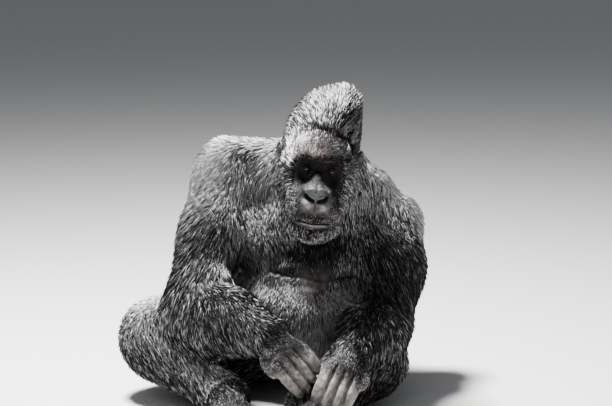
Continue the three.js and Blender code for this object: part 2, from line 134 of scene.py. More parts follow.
def waves(points: Array, size: float, seed: int) -> Array:
    """Soft unevenness in space.

    Args:
        points: places, in metres.
        size: about how far apart its swells are, in metres.
        seed: picks one pattern.

    Returns:
        A value for each place, mostly between -1 and 1.
    """
    chance = np.random.default_rng(seed)
    ways = unit(chance.normal(size=(WAVE_COUNT, 3)))
    turns = math.tau / (size * chance.uniform(0.7, 1.7, WAVE_COUNT))
    phases = chance.uniform(0.0, math.tau, WAVE_COUNT)
    return np.sin(points @ (ways * turns[:, None]).T + phases).sum(axis=1) / math.sqrt(WAVE_COUNT)


def read(items: bpy.types.bpy_prop_collection, name: str, wide: int, kind: type = float) -> Array:
    """One property of every item of a mesh, as rows.

    Args:
        items: the mesh's points, edges or triangles.
        name: the property.
        wide: how many values it has for each item.
        kind: float, or int for numbers of points.

    Returns:
        One row for each item.
    """
    values = np.empty(len(items) * wide, np.float32 if kind is float else np.int32)
    items.foreach_get(name, values)
    return values.reshape(-1, wide).astype(kind)


def off_line(points: Array, line: list[Array]) -> Array:
    """The step to each point from the nearest place on a line of points.

    Args:
        points: the places to measure.
        line: the line's points, or a single one.

    Returns:
        One step for each place.
    """
    best = np.full(points.shape, 1e9)
    for start, end in zip(line, line[1:] if len(line) > 1 else line):
        way = end - start
        share = np.clip((points - start) @ way / max(float(way @ way), 1e-12), 0.0, 1.0)
        step = points - start - share[:, None] * way
        closer = (step**2).sum(axis=1) < (best**2).sum(axis=1)
        best[closer] = step[closer]
    return best


def from_line(points: Array, line: list[Array]) -> Array:
    """The distance from each point to a line of points."""
    return np.linalg.norm(off_line(points, line), axis=1)


class Net:
    """A mesh's points and edges as arrays, for averages over neighbours."""

    def __init__(self, mesh: bpy.types.Mesh) -> None:
        """Read the mesh."""
        self.points = read(mesh.vertices, "co", 3)
        self.edges = read(mesh.edges, "vertices", 2, int)
        self.size = len(self.points)
        self.count = np.maximum(np.bincount(self.edges.ravel(), minlength=self.size), 1)

    def mean(self, values: Array) -> Array:
        """Each point's average over its neighbours.

        Args:
            values: a row of values for each point.

        Returns:
            The averages, as rows.
        """
        a, b = self.edges.T
        sums = [
            np.bincount(a, column[b], self.size) + np.bincount(b, column[a], self.size)
            for column in values.T
        ]
        return np.stack(sums, axis=1) / self.count[:, None]

    def soften(self, values: Array, rounds: int, share: Array | float = 1.0) -> Array:
        """Spread values over the surface.

        Args:
            values: one value or row of values for each point.
            rounds: how many times each point moves towards its neighbours' average.
            share: how far it moves, for each point or for all.

        Returns:
            The values, softened.
        """
        rows = values.reshape(self.size, -1).astype(float)
        part = share[:, None] if isinstance(share, np.ndarray) else share
        for _ in range(rounds):
            rows = rows + (self.mean(rows) - rows) * part
        return rows.reshape(values.shape)


# ---------------------------------------------------------------- the animal's own places


@dataclass
class Skeleton:
    """The joints that the solids were drawn over, and the head's own axes."""

    head: Point = (0.126, -0.231, 0.684)
    pitch: float = math.radians(12.0)
    roll: float = math.radians(7.3)
    eye: Point = (0.030, -0.076, -0.020)
    joints: dict[str, Point] = field(
        default_factory=lambda: {
            "hip_right": (-0.055, 0.120, 0.132),
            "knee_right": (-0.294, -0.100, 0.165),
            "ankle_right": (-0.118, -0.335, 0.066),
            "ball_right": (-0.080, -0.472, 0.040),
            "hip_left": (0.150, 0.115, 0.128),
            "knee_left": (0.266, -0.178, 0.122),
            "ankle_left": (0.096, -0.368, 0.062),
            "ball_left": (0.090, -0.505, 0.038),
            "shoulder_right": (-0.122, -0.015, 0.574),
            "elbow_right": (-0.210, -0.190, 0.266),
            "wrist_right": (-0.008, -0.390, 0.240),
            "knuckles_right": (0.046, -0.430, 0.190),
            "shoulder_left": (0.319, 0.070, 0.446),
            "elbow_left": (0.290, -0.168, 0.222),
            "wrist_left": (0.206, -0.372, 0.190),
            "knuckles_left": (0.180, -0.436, 0.148),
        }
    )

    def __post_init__(self) -> None:
        """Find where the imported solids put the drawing's zero point."""
        turn = Matrix.Rotation(self.roll, 3, "Y") @ Matrix.Rotation(self.pitch, 3, "X")
        self.axes = np.array(turn)
        middles = [sum(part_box(f"eye_{side}"), Vector()) / 2 for side in SIDES]
        between = np.array((middles[0] + middles[1]) / 2)
        drawn = np.array(self.head) + self.axes @ np.array([0.0, *self.eye[1:]])
        self.shift = between - drawn
        self.origin = np.array(self.head) + self.shift

    def at(self, name: str) -> Array:
        """A joint's place."""
        return np.array(self.joints[name]) + self.shift

    def to_head(self, points: Array) -> Array:
        """Places as the head has them, in millimetres: x to its left, y back, z up."""
        return (points - self.origin) @ self.axes / MM

    def from_head(self, points: Array) -> Array:
        """Places given in the head's own millimetres, in metres."""
        return np.atleast_2d(points) * MM @ self.axes.T + self.origin

    def along(self, start: str, end: str) -> Array:
        """The direction from one joint to another."""
        return unit(self.at(end) - self.at(start))


@dataclass(frozen=True)
class Pelt:
    """How hair grows on one kind of part: lengths in metres, lift in degrees."""

    depth: float
    length: float
    width: float
    lift: float
    crowd: float
    silver: float


PELTS: dict[Limb, Pelt] = {
    Limb.HEAD: Pelt(0.011, 0.021, 0.00105, 20.0, 2.4, 0.62),
    Limb.NECK: Pelt(0.012, 0.034, 0.00105, 16.0, 1.3, 0.66),
    Limb.TRUNK: Pelt(0.011, 0.035, 0.00105, 15.0, 1.0, 0.68),
    Limb.UPPER_ARM: Pelt(0.011, 0.036, 0.00105, 15.0, 1.25, 0.68),
    Limb.FOREARM: Pelt(0.011, 0.040, 0.00105, 15.0, 1.25, 0.20),
    Limb.HAND: Pelt(0.001, 0.013, 0.0011, 12.0, 0.9, 0.22),
    Limb.THIGH: Pelt(0.011, 0.034, 0.00105, 16.0, 1.0, 0.60),
    Limb.SHIN: Pelt(0.010, 0.032, 0.00105, 16.0, 1.0, 0.40),
    Limb.FOOT: Pelt(0.001, 0.011, 0.0011, 10.0, 0.8, 0.14),
}


def limb_of(part: Part) -> Limb:
    """The kind of part that a node is."""
    return Limb(part.value.removesuffix("_right").removesuffix("_left"))


LIMBS = [limb_of(part) for part in PARTS]


def on_part(label: Array, part: Part) -> Array:
    """Which places are on one node, from the number of each place's node."""
    return label == PARTS.index(part)


def on_limb(label: Array, *limbs: Limb) -> Array:
    """Which places are on the given kinds of part, from the number of each place's node."""
    return np.isin(label, [number for number, limb in enumerate(LIMBS) if limb in limbs])


# ---------------------------------------------------------------- the face's folds


@dataclass(frozen=True)
class Fold:
    """A furrow down a line on the face, or a ridge where deep is below zero.

    The line's points are (x, z) in millimetres: on the front of the head, in the head's own axes,
    or for the breast on the front of the body, above the drawing's floor.
    """

    line: tuple[tuple[float, float], ...]
    wide: float
    deep: float
    mirrored: bool = True

    def path(self, side: int = 1) -> list[Array]:
        """The line's points, as they are or mirrored."""
        return [np.array([x * side, z]) for x, z in self.line]


BROW_HOLLOW = Fold(((0, 78), (40, 74), (66, 60)), 12.0, 3.0)
BROW_RIDGE = Fold(((0, 24), (32, 27), (52, 20)), 14.0, -7.0)
BROW_CLEFT = Fold(((0, 40), (0, 12)), 6.0, 2.0, False)
SOCKET = Fold(((8, -4), (30, -6), (50, -10)), 12.0, 5.0)
LOWER_LID_FURROW = Fold(((18, -37), (30, -41), (46, -36)), 5.0, 2.2)
CHEEKBONE = Fold(((26, -50), (42, -53)), 7.0, -1.8)
NOSE_PAD = Fold(((13, -46),), 12.0, -3.5)
NOSE_CLEFT = Fold(((0, -36), (0, -50)), 3.0, 2.6, False)
NOSTRIL_RIM = Fold(((30, -58), (21, -62), (9, -66)), 5.0, -3.4)
NOSE_LOBE = Fold(((22, -87),), 10.0, -8.0)
CHEEK_ROLL = Fold(((33, -52), (41, -68), (49, -92)), 5.0, -2.6)
CHEEK_FURROW = Fold(((40, -48), (49, -66), (57, -90)), 5.5, 3.6)
UPPER_LIP = Fold(((0, -124), (20, -125), (36, -127)), 9.0, -2.4, False)
LOWER_LIP = Fold(((0, -148), (18, -148), (34, -146)), 7.0, -3.6)
CHIN_FURROW = Fold(((0, -162), (18, -161), (32, -158)), 5.0, 2.2)
CHIN = Fold(((0, -186), (14, -184)), 16.0, -4.0)
NOSTRIL = Fold(((27, -64), (23, -70), (15, -74), (7, -76)), 2.7, 10.0)
MOUTH = Fold(((0, -140), (14, -140), (28, -139), (42, -141)), 2.2, 6.0)

FORMS: list[Fold] = [
    BROW_HOLLOW, BROW_RIDGE, BROW_CLEFT, SOCKET, LOWER_LID_FURROW, CHEEKBONE,
    NOSE_PAD, NOSE_CLEFT, NOSTRIL_RIM, NOSE_LOBE, CHEEK_ROLL, CHEEK_FURROW,
    UPPER_LIP, LOWER_LIP, CHIN_FURROW, CHIN,
]

FINE_FOLDS: list[Fold] = [
    NOSTRIL,
    # the nostril's outer edge, and the groove under the nose with its two ridges
    Fold(((30, -57), (29, -64), (32, -72)), 2.0, 1.6),
    Fold(((0, -77), (0, -102)), 1.9, 3.0, False),
    Fold(((3.5, -76), (3.5, -88)), 1.6, -1.4),
    MOUTH,
    # creases of the frown, down and across the bridge of the nose
    Fold(((3, 12), (4, -6)), 1.8, 1.3),
    Fold(((11, 2), (10, -10)), 1.8, 1.0),
    Fold(((0, -12), (9, -11)), 1.8, 1.1),
    Fold(((0, -20), (10, -19)), 1.8, 1.1),
    Fold(((0, -28), (10, -29)), 1.6, 0.9),
    # creases over the nose's pads
    Fold(((3, -42), (12, -39), (22, -43)), 1.8, 1.2),
    Fold(((3, -50), (12, -52), (22, -49)), 1.8, 1.1),
    # creases over and under the eye, and down the cheek
    Fold(((15, -7), (30, -4), (45, -9)), 2.2, 1.4),
    Fold(((16, -33), (30, -37), (43, -31)), 1.8, 1.3),
    Fold(((17, -43), (31, -47), (46, -41)), 2.0, 1.2),
    Fold(((24, -53), (37, -58), (50, -52)), 2.2, 1.0),
    Fold(((26, -46), (33, -56), (39, -72)), 2.4, 1.5),
    Fold(((34, -92), (43, -106), (47, -124)), 2.4, 1.3),
    # creases across and down the upper lip, then down the lower lip
    Fold(((0, -106), (16, -107), (30, -110)), 2.2, 0.9),
    Fold(((0, -116), (16, -117), (32, -120)), 2.2, 0.8),
    Fold(((8, -102), (9, -136)), 1.8, 1.2),
    Fold(((16, -100), (18, -137)), 1.8, 1.3),
    Fold(((24, -102), (27, -137)), 1.8, 1.1),
    Fold(((32, -106), (35, -137)), 1.8, 0.9),
    Fold(((5, -144), (6, -156)), 1.6, 0.9),
    Fold(((13, -145), (15, -156)), 1.6, 0.9),
    Fold(((21, -145), (23, -155)), 1.6, 0.9),
    Fold(((29, -145), (31, -153)), 1.6, 0.8),
    # the fold beside the nose, and the short crease between its pads
    Fold(((28, -40), (36, -48), (43, -62)), 2.0, 1.4),
    Fold(((0, -56), (7, -57)), 1.8, 0.8, False),
]

BREAST_FOLDS: list[Fold] = [
    # the furrow under the breast, the swell above it and the groove down its middle
    Fold(((-8, 366), (47, 355), (86, 349), (126, 341), (167, 338), (215, 350)), 7.0, 9.0, False),
    Fold(((30, 376), (90, 368), (150, 358), (195, 366)), 14.0, -6.0, False),
    Fold(((108, 470), (108, 352)), 7.0, 3.0, False),
    # one crease below the furrow and one above it
    Fold(((60, 328), (108, 318), (156, 324)), 6.0, 2.5, False),
    Fold(((55, 442), (105, 428), (160, 438)), 5.0, 2.0, False),
]


# ---------------------------------------------------------------- pieces


def add_object(name: str, data: bpy.types.ID) -> bpy.types.Object:
    """Put a mesh, lamp or camera into the scene.

    Args:
        name: the object's name.
        data: the mesh, lamp or camera.

    Returns:
        The object.
    """
    piece = bpy.data.objects.new(name, data)
    bpy.context.scene.collection.objects.link(piece)
    return piece


def put(form: bmesh.types.BMesh, name: str, soft: bool = False) -> bpy.types.Object:
    """Make an object of a bmesh, with soft shading or flat, and free the bmesh.

    Args:
        form: the shape.
        name: the object's name.
        soft: whether its faces are shaded softly.

    Returns:
        The object.
    """
    for face in form.faces:
        face.smooth = soft
    mesh = bpy.data.meshes.new(name)
    form.to_mesh(mesh)
    form.free()
    return add_object(name, mesh)


def pour(form: bmesh.types.BMesh, pile: bmesh.types.BMesh) -> None:
    """Add one bmesh to another, and free the first.

    Args:
        form: the shape to add.
        pile: the bmesh that takes it.
    """
    mesh = bpy.data.meshes.new("poured")
    form.to_mesh(mesh)
    form.free()
    pile.from_mesh(mesh)
    bpy.data.meshes.remove(mesh)


def turn(form: bmesh.types.BMesh, matrix: Matrix) -> None:
    """Turn a bmesh about the zero point."""
    bmesh.ops.rotate(form, verts=form.verts[:], cent=Vector(), matrix=matrix)


def apply_all(piece: bpy.types.Object) -> None:
    """Apply a piece's modifiers to its mesh.

    Args:
        piece: the object.
    """
    graph = bpy.context.evaluated_depsgraph_get()
    graph.update()
    made = bpy.data.meshes.new_from_object(piece.evaluated_get(graph))
    piece.modifiers.clear()
    old = piece.data
    piece.data = made
    bpy.data.meshes.remove(old)


def move_to(piece: bpy.types.Object, points: Array) -> None:
    """Move a piece's points to new places."""
    piece.data.vertices.foreach_set("co", points.astype(np.float32).ravel())
    piece.data.update()


def normals_of(piece: bpy.types.Object) -> Array:
    """The way out of a piece at each of its points."""
    return read(piece.data.vertices, "normal", 3)


def paint(piece: bpy.types.Object, name: str, rows: Array) -> None:
    """Write four values for each point of a piece as a colour attribute."""
    marks = piece.data.color_attributes.new(name, "FLOAT_COLOR", "POINT")
    marks.data.foreach_set("color", np.clip(rows, 0.0, 1.0).astype(np.float32).ravel())


# ---------------------------------------------------------------- where things are on the animal


def nodes_at(points: Array) -> Array:
    """The number of the node of flesh that each place belongs to.

    Args:
        points: places on or near the solids.

    Returns:
        Each place's node, by its number in PARTS.
    """
    corners: list[Array] = []
    faces: list[Array] = []
    owners: list[Array] = []
    count = 0
    for number, part in enumerate(PARTS):
        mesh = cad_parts[part.value].data
        mesh.calc_loop_triangles()
        spots = read(mesh.vertices, "co", 3)
        tris = read(mesh.loop_triangles, "vertices", 3, int)
        corners.append(spots)
        faces.append(tris + count)
        owners.append(np.full(len(tris), number))
        count += len(spots)
    tree = BVHTree.FromPolygons(np.concatenate(corners).tolist(), np.concatenate(faces).tolist())
    owner = np.concatenate(owners)
    return np.array([owner[tree.find_nearest(spot)[2]] for spot in points.tolist()])


def face_share(local: Array) -> Array:
    """How far each place, in the head's millimetres, is on the bare front of the face: 0 to 1.

    Args:
        local: the places.

    Returns:
        A share for each.
    """
    front = smooth(-local[:, 1], 34.0, 60.0)
    width = 1.0 - smooth(np.abs(local[:, 0]), 62.0, 84.0)
    height = smooth(local[:, 2], -216.0, -190.0) * (1.0 - smooth(local[:, 2], 52.0, 74.0))
    return front * width * height


@dataclass
class ChestPlate:
    """The bare plate of hide under the chin: an upright oval on the front of the chest."""

    bones: Skeleton
    middle: tuple[float, float] = (0.110, 0.388)
    half_wide: float = 0.068
    half_tall: float = 0.094

    def away(self, points: Array) -> Array:
        """How far each place is from the plate's middle: 1 at its edge.

        Args:
            points: the places.

        Returns:
            A distance for each, and more than 4 away from the front.
        """
        x, y, z = (points - self.bones.shift).T
        away = np.hypot((x - self.middle[0]) / self.half_wide, (z - self.middle[1]) / self.half_tall)
        return away + 4.0 * (1.0 - smooth(-y, 0.02, 0.10))

    def bare(self, points: Array) -> Array:
        """How bare the chest is, from 0 to 1."""
        return 1.0 - smooth(self.away(points), 0.86, 1.10)

    def near(self, points: Array) -> Array:
        """How near each place is to the plate, from 0 to 1."""
        return 1.0 - smooth(self.away(points), 1.10, 1.60)


# ---------------------------------------------------------------- the skin


@dataclass
class Skin:
    """One closed skin over all the flesh, lying inside the solids by the coat's depth.

    Lengths are in metres. Those of the eyeball and lids are in millimetres, and the opening between
    the lids is given as shares of a step out from the eye's middle.
    """

    bones: Skeleton
    voxel: float = 0.0045
    swell: float = 0.0015
    lid: float = 0.0020
    thinned: float = 0.22
    rounds: int = 110
    cheek_depth: float = 0.013
    crown_depth: float = 0.005
    face_edge: float = 0.0032
    feature_edge: float = 0.0018
    cleft: float = 0.0085
    cleft_wide: float = 0.0038
    knuckles: tuple[float, ...] = (0.0030, 0.0022, 0.0016)
    knuckle_wide: float = 0.019
    crease: float = 0.0012
    crease_wide: float = 0.0016
    eyeball: float = 12.5
    lid_gap: float = 1.9
    eyeball_sunk: float = 1.4
    lid_reach: float = 26.0
    slant: float = 0.10
    opening_wide: float = 0.84
    upper_lid: float = 0.19
    lower_lid: float = 0.25

    def gather(self) -> bpy.types.Object:
        """Join fattened copies of the nodes of flesh, with the eyes as bulges under the lids.

        Returns:
            The pile as one object.
        """
        pile = bmesh.new()
        names = [part.value for part in PARTS] + [f"eye_{side}" for side in SIDES]
        for name in names:
            copy = bmesh.new()
            copy.from_mesh(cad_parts[name].data)
            bmesh.ops.remove_doubles(copy, verts=copy.verts[:], dist=1e-5)
            copy.normal_update()
            grow = self.lid if name.startswith("eye") else self.swell
            for vertex in copy.verts:
                vertex.co += vertex.normal * grow
            pour(copy, pile)
        return put(pile, "skin")

    def close(self, skin: bpy.types.Object) -> None:
        """Turn the pile of copies into one surface of even squares.

        Args:
            skin: the pile.
        """
        remesh = skin.modifiers.new("close", "REMESH")
        remesh.mode = "VOXEL"
        remesh.voxel_size = self.voxel
        apply_all(skin)

    def depth_of(self, net: Net, label: Array, local: Array, face: Array) -> Array:
        """How deep the skin lies under the coat's outline, before the bare chest is left out.

        Args:
            net: the skin's net.
            label: the number of each point's node.
            local: each point in the head's millimetres.
            face: how far each point is on the face.

        Returns:
            A depth for each point.
        """
        on_head = on_part(label, Part.HEAD)
        x, _, z = local.T
        cheek = smooth(np.abs(x), 50.0, 72.0) * (1.0 - smooth(z, 10.0, 50.0))
        corner = smooth(x, 14.0, 44.0) * smooth(z, 104.0, 146.0)
        depth = np.array([PELTS[limb].depth for limb in LIMBS])[label]
        depth = blend(depth, self.crown_depth, corner * on_head)
        depth = np.where(on_head, blend(depth, self.cheek_depth, cheek) * (1.0 - face), depth)
        return net.soften(depth, 24)

    def settle(self, skin: bpy.types.Object) -> None:
        """Smooth the facets away and sink the skin under its coat.

        Args:
            skin: the closed skin.
        """
        net = Net(skin.data)
        label = nodes_at(net.points)
        local = self.bones.to_head(net.points)
        face = face_share(local) * on_part(label, Part.HEAD)
        fine = np.maximum(face, on_limb(label, Limb.HAND, Limb.FOOT) * 1.0)
        points = net.soften(net.points, self.rounds, 0.5 * (1.0 - 0.96 * net.soften(fine, 6)))
        move_to(skin, points)
        normals = normals_of(skin)
        chest = net.soften(ChestPlate(self.bones).bare(points), 6)
        depth = self.depth_of(net, label, local, face) * (1.0 - chest)
        depth *= 0.12 + 0.88 * smooth(points[:, 2], 0.0, 0.07)
        front = (points - self.bones.shift)[:, [0, 2]] / MM
        breast = smooth(-normals[:, 1], 0.0, 0.5) * on_part(label, Part.TRUNK)
        move = sum(fold.deep * near(from_line(front, fold.path()), fold.wide) for fold in BREAST_FOLDS)
        depth += net.soften(breast, 6) * move * MM
        points = points - net.soften(normals, 3) * depth[:, None]
        points[:, 2] = np.maximum(points[:, 2], FLOOR_GAP)
        move_to(skin, points)
        kept = net.soften(fine, 3) + chest > 0.05
        group = skin.vertex_groups.new(name="thin")
        group.add(np.flatnonzero(~kept).tolist(), 1.0, "REPLACE")

    def lighten(self, skin: bpy.types.Object) -> None:
        """Take points out where the coat hides the skin.

        Args:
            skin: the settled skin.
        """
        thin = skin.modifiers.new("thin", "DECIMATE")
        thin.ratio = self.thinned
        thin.vertex_group = "thin"
        apply_all(skin)
        skin.vertex_groups.clear()

    def on_face_or_digit(self, points: Array) -> Array:
        """Which places need more points: the face, the fingers and the toes."""
        return (face_share(self.bones.to_head(points)) > 0.05) | (self.digit_share(points) > 0.5)

    def on_feature(self, points: Array) -> Array:
        """Which places need the most points: round the eyes, nose and mouth, and on the frown.

        Args:
            points: the places.

        Returns:
            True for each such place.
        """
        local = self.bones.to_head(points)
        side, height = np.abs(local[:, 0]), local[:, 2]
        eyes = np.hypot(side - self.bones.eye[0] / MM, height - self.bones.eye[2] / MM) < 24
        muzzle = (side < 48) & (height < -36) & (height > -160)
        frown = (side < 20) & (height < 8) & (height > -38)
        return (face_share(local) > 0.05) & (eyes | muzzle | frown)

    def refine(self, skin: bpy.types.Object) -> None:
        """Add points on the face, hands and feet, and more round the eyes, nose and mouth.

        Args:
            skin: the thinned skin.
        """
        form = bmesh.new()
        form.from_mesh(skin.data)
        for longest, wanted in (
            (self.face_edge, self.on_face_or_digit),
            (self.feature_edge, self.on_feature),
        ):
            fine = wanted(np.array([vertex.co for vertex in form.verts]))
            long_edges = [
                edge
                for edge in form.edges
                if fine[edge.verts[0].index] and fine[edge.verts[1].index]
                and edge.calc_length() > longest
            ]
            bmesh.ops.subdivide_edges(form, edges=long_edges, cuts=1, use_grid_fill=True)
            form.verts.index_update()
        bmesh.ops.triangulate(form, faces=[f for f in form.faces if len(f.verts) > 4])
        form.to_mesh(skin.data)
        form.free()
        skin.data.update()

    def digit_share(self, points: Array) -> Array:
        """How near each place is to the fingers or toes, from 0 to 1.

        Args:
            points: the places.

        Returns:
            A share for each.
        """
        digits = Digits(self.bones)
        lines = [line for side in SIDES for line in digits.finger_lines(side) + digits.toe_lines(side)]
        gap = np.min([from_line(points, line) for line in lines], axis=0)
        return 1.0 - smooth(gap, 0.022, 0.030)

    def part_digits(self, skin: bpy.types.Object) -> None:
        """Part the fingers and toes, and raise their knuckles.

        Args:
            skin: the refined skin.
        """
        digits = Digits(self.bones)
        points = read(skin.data.vertices, "co", 3)
        close = np.flatnonzero(self.digit_share(points) > 0.0)
        spots = points[close]
        move = np.zeros(len(close))
        for side in SIDES:
            for lines, across in (
                (digits.finger_lines(side), digits.thumbward(side)),
                (digits.toe_lines(side), digits.inward(side)),
            ):
                for line, other in zip(lines[:3], lines[1:4]):
                    middle = [(a + b) / 2 for a, b in zip(line, other)]
                    step = off_line(spots, middle)
                    reach = 1.0 - smooth(np.linalg.norm(step, axis=1), 0.020, 0.027)
                    move += self.cleft * near(step @ across, self.cleft_wide) * reach
                for line in lines:
                    away = unit(line[-1] - line[0])
                    for joint, raised in zip(line[:-1], self.knuckles):
                        gap = np.linalg.norm(spots - joint, axis=1)
                        move -= raised * near(gap, self.knuckle_wide)
                        crease = near((spots - joint) @ away, self.crease_wide) * near(gap, 0.020)
                        move += self.crease * crease
        spots = spots - normals_of(skin)[close] * move[:, None]
        spots[:, 2] = np.maximum(spots[:, 2], FLOOR_GAP)
        points[close] = spots
        move_to(skin, points)

    def sculpt(self, skin: bpy.types.Object) -> None:
        """Shape the brow, lids, nose, mouth and folds on the fine part of the face.

        Args:
            skin: the refined skin.
        """
        net = Net(skin.data)
        local = self.bones.to_head(net.points)
        share = face_share(local)
        over = np.maximum(share, face_share(local - np.array([0.0, 6.0, 26.0])))
        local = blend(local, net.soften(local, 6, 0.5), share[:, None])
        for folds, reach in ((FORMS, over), (FINE_FOLDS, share)):
            move = np.zeros(len(local))
            for fold in folds:
                for side in (1, -1) if fold.mirrored else (1,):
                    gap = from_line(local[:, [0, 2]], fold.path(side))
                    move += fold.deep * near(gap, fold.wide)
            move_to(skin, self.bones.from_head(local))
            normals = normals_of(skin) @ self.bones.axes
            local = local - normals * (move * reach)[:, None]
            local = blend(local, net.soften(local, 1, 0.3), share[:, None])
        move_to(skin, self.bones.from_head(self.lids(local)))

    def lids(self, local: Array) -> Array:
        """Close the skin over each eyeball but for an almond opening.

        Args:
            local: the skin's points in the head's millimetres.

        Returns:
            The points, moved.
        """
        for side in (1, -1):
            middle = np.array(self.bones.eye) / MM * np.array([side, 1.0, 1.0])
            ray = local - middle
            far = np.linalg.norm(ray, axis=1)
            across = ray[:, 0] / np.maximum(far, 1e-6) * side
            upward = ray[:, 2] / np.maximum(far, 1e-6) + self.slant * across
            around = far < self.lid_reach
            arch = 1.0 - (across / self.opening_wide) ** 2
            top = self.upper_lid * arch
            low = -self.lower_lid * arch
            edge = np.minimum(top - upward, upward - low)
            opening = smooth(edge, -0.02, 0.05) * ((ray[:, 1] < -1.0) & around) * (arch > 0)
            lid = self.eyeball + self.lid_gap + 0.3 * near(edge, 0.14)
            wanted = np.where(far < lid + 3.0, np.maximum(lid, far), far)
            wanted = blend(wanted, self.eyeball - self.eyeball_sunk, opening)
            front = smooth(-ray[:, 1], 1.0, 5.0) * around
            local = middle + ray * (blend(far, wanted, front) / np.maximum(far, 1e-6))[:, None]
        return local

    def build(self) -> bpy.types.Object:
        """Make the skin.

        Returns:
            The skin's object, without a material.
        """
        skin = self.gather()
        self.close(skin)
        log.info("closed skin: %d points", len(skin.data.vertices))
        self.settle(skin)
        self.lighten(skin)
        log.info("thinned skin: %d faces", len(skin.data.polygons))
        self.refine(skin)
        self.sculpt(skin)
        self.part_digits(skin)
        skin.data.polygons.foreach_set("use_smooth", [True] * len(skin.data.polygons))
        log.info("skin: %d points, %d faces", len(skin.data.vertices), len(skin.data.polygons))
        return skin


# ---------------------------------------------------------------- finishes


class Board:
    """A material's node board, with short ways to add and join nodes."""

    def __init__(self, name: str) -> None:
        """Start a material with one principled shader.

        Args:
            name: the material's name.
        """
        self.material = bpy.data.materials.new(name)
        self.material.use_nodes = True
        self.tree = self.material.node_tree
        self.shader = self.tree.nodes["Principled BSDF"]

    def add(self, kind: str, settings: dict | None = None, **inputs: object) -> bpy.types.Node:
        """Add a node.

        Args:
            kind: the node's type, without its common ending.
            settings: the node's own properties.
            inputs: values or sockets for its inputs, by name, with _ for a space or by number.

        Returns:
            The node.
        """
        node = self.tree.nodes.new(f"ShaderNode{kind}")
        for name, value in (settings or {}).items():
            setattr(node, name, value)
        for name, value in inputs.items():
            key = int(name[1:]) if name[1:].isdigit() else name.replace("_", " ")
            self.feed(node.inputs[key], value)
        return node

    def feed(self, socket: bpy.types.NodeSocket, value: object) -> None:
        """Give a socket a value or join another socket to it.

        Args:
            socket: the input.
            value: a value or an output.
        """
        if isinstance(value, bpy.types.NodeSocket):
            self.tree.links.new(value, socket)
        else:
            socket.default_value = value

    def shade(self, **inputs: object) -> None:
        """Set or join the shader's own sockets, by name with _ for a space."""
        for name, value in inputs.items():
            self.feed(self.shader.inputs[name.replace("_", " ")], value)

    def mix(self, share: object, a: object, b: object) -> bpy.types.NodeSocket:
        """A colour between two."""
        node = self.add("Mix", {"data_type": "RGBA"}, _0=share, _6=a, _7=b)
        return node.outputs[2]

    def times(self, a: object, b: object) -> bpy.types.NodeSocket:
        """One number times another."""
        return self.add("Math", {"operation": "MULTIPLY"}, _0=a, _1=b).outputs[0]

    def less(self, a: object, b: object) -> bpy.types.NodeSocket:
        """One number less another."""
        return self.add("Math", {"operation": "SUBTRACT"}, _0=a, _1=b).outputs[0]

    def span(
        self, value: object, low: float, high: float, first: float = 0.0, last: float = 1.0
    ) -> bpy.types.NodeSocket:
        """A number moved from one range to another, softly.

        Args:
            value: the number.
            low: where the first range starts.
            high: where it ends.
            first: the result at low.
            last: the result at high.

        Returns:
            The result's socket.
        """
        kind = {"interpolation_type": "SMOOTHSTEP"}
        node = self.add("MapRange", kind, _0=value, _1=low, _2=high, _3=first, _4=last)
        return node.outputs[0]

    def marks(self, name: str) -> tuple[bpy.types.NodeSocket, ...]:
        """The red, green, blue and alpha of a colour attribute.

        Args:
            name: the attribute.

        Returns:
            The four sockets.
        """
        read_marks = self.add("Attribute", {"attribute_name": name})
        parts = self.add("SeparateColor", _0=read_marks.outputs["Color"])
        return (*parts.outputs, read_marks.outputs["Alpha"])

    def place(self) -> bpy.types.NodeSocket:
        """Object coordinates."""
        return self.add("TexCoord").outputs["Object"]

    def noise(self, scale: float, detail: float = 3.0, rough: float = 0.55) -> bpy.types.NodeSocket:
        """Soft noise over the object's own coordinates."""
        node = self.add("TexNoise", Vector=self.place(), Scale=scale, Detail=detail, Roughness=rough)
        return node.outputs["Fac"]

    def cells(self, scale: float) -> bpy.types.NodeSocket:
        """The distance to the middle of the nearest small cell, as on leathery hide."""
        node = self.add("TexVoronoi", Vector=self.place(), Scale=scale)
        return node.outputs["Distance"]

    def bump(
        self, height: object, deep: float, strength: float, under: object | None = None
    ) -> bpy.types.NodeSocket:
        """A bump, over another if one is given.

        Args:
            height: the pattern.
            deep: its depth in metres.
            strength: how much of it shows.
            under: the bump beneath.

        Returns:
            The normal's socket.
        """
        node = self.add("Bump", Height=height, Distance=deep, Strength=strength)
        if under is not None:
            self.feed(node.inputs["Normal"], under)
        return node.outputs["Normal"]


Colour = tuple[float, float, float, float]


@dataclass(frozen=True)
class CoatFinish:
    """Hair: near black at the root, partly dark underfur and partly painted shade deep in the coat, with a
    paler, silver or ginger outer part.
    """

    root: Colour = (0.003, 0.003, 0.004, 1.0)
    dark: Colour = (0.012, 0.012, 0.015, 1.0)
    silver: Colour = (0.82, 0.80, 0.81, 1.0)
    ginger: Colour = (0.20, 0.132, 0.105, 1.0)
    roughness: float = 0.50

    def build(self) -> bpy.types.Material:
        """Make the hair's material; it reads the coat's own marks.

        Returns:
            The material.
        """
        board = Board("coat_hair")
        along, silver, chance, ginger = board.marks("growth")
        outer = board.mix(silver, self.dark, self.silver)
        outer = board.mix(ginger, outer, self.ginger)
        tone = board.span(chance, 0.0, 1.0, 0.40, 1.10)
        streak = board.span(board.noise(620.0, 2.0), 0.3, 0.7, 0.75, 1.15)
        light = board.times(tone, streak)
        outer = board.add("VectorMath", {"operation": "SCALE"}, _0=outer, Scale=light).outputs[0]
        # Darker towards the root: partly dark underfur, partly painted shade between the locks.
        colour = board.mix(board.span(along, 0.05, 0.95), self.root, outer)
        board.shade(
            Base_Color=colour,
            Roughness=self.roughness,
            Specular_IOR_Level=0.30,
            Normal=board.bump(board.noise(1400.0, 1.0), 0.0004, 0.35),
        )
        return board.material


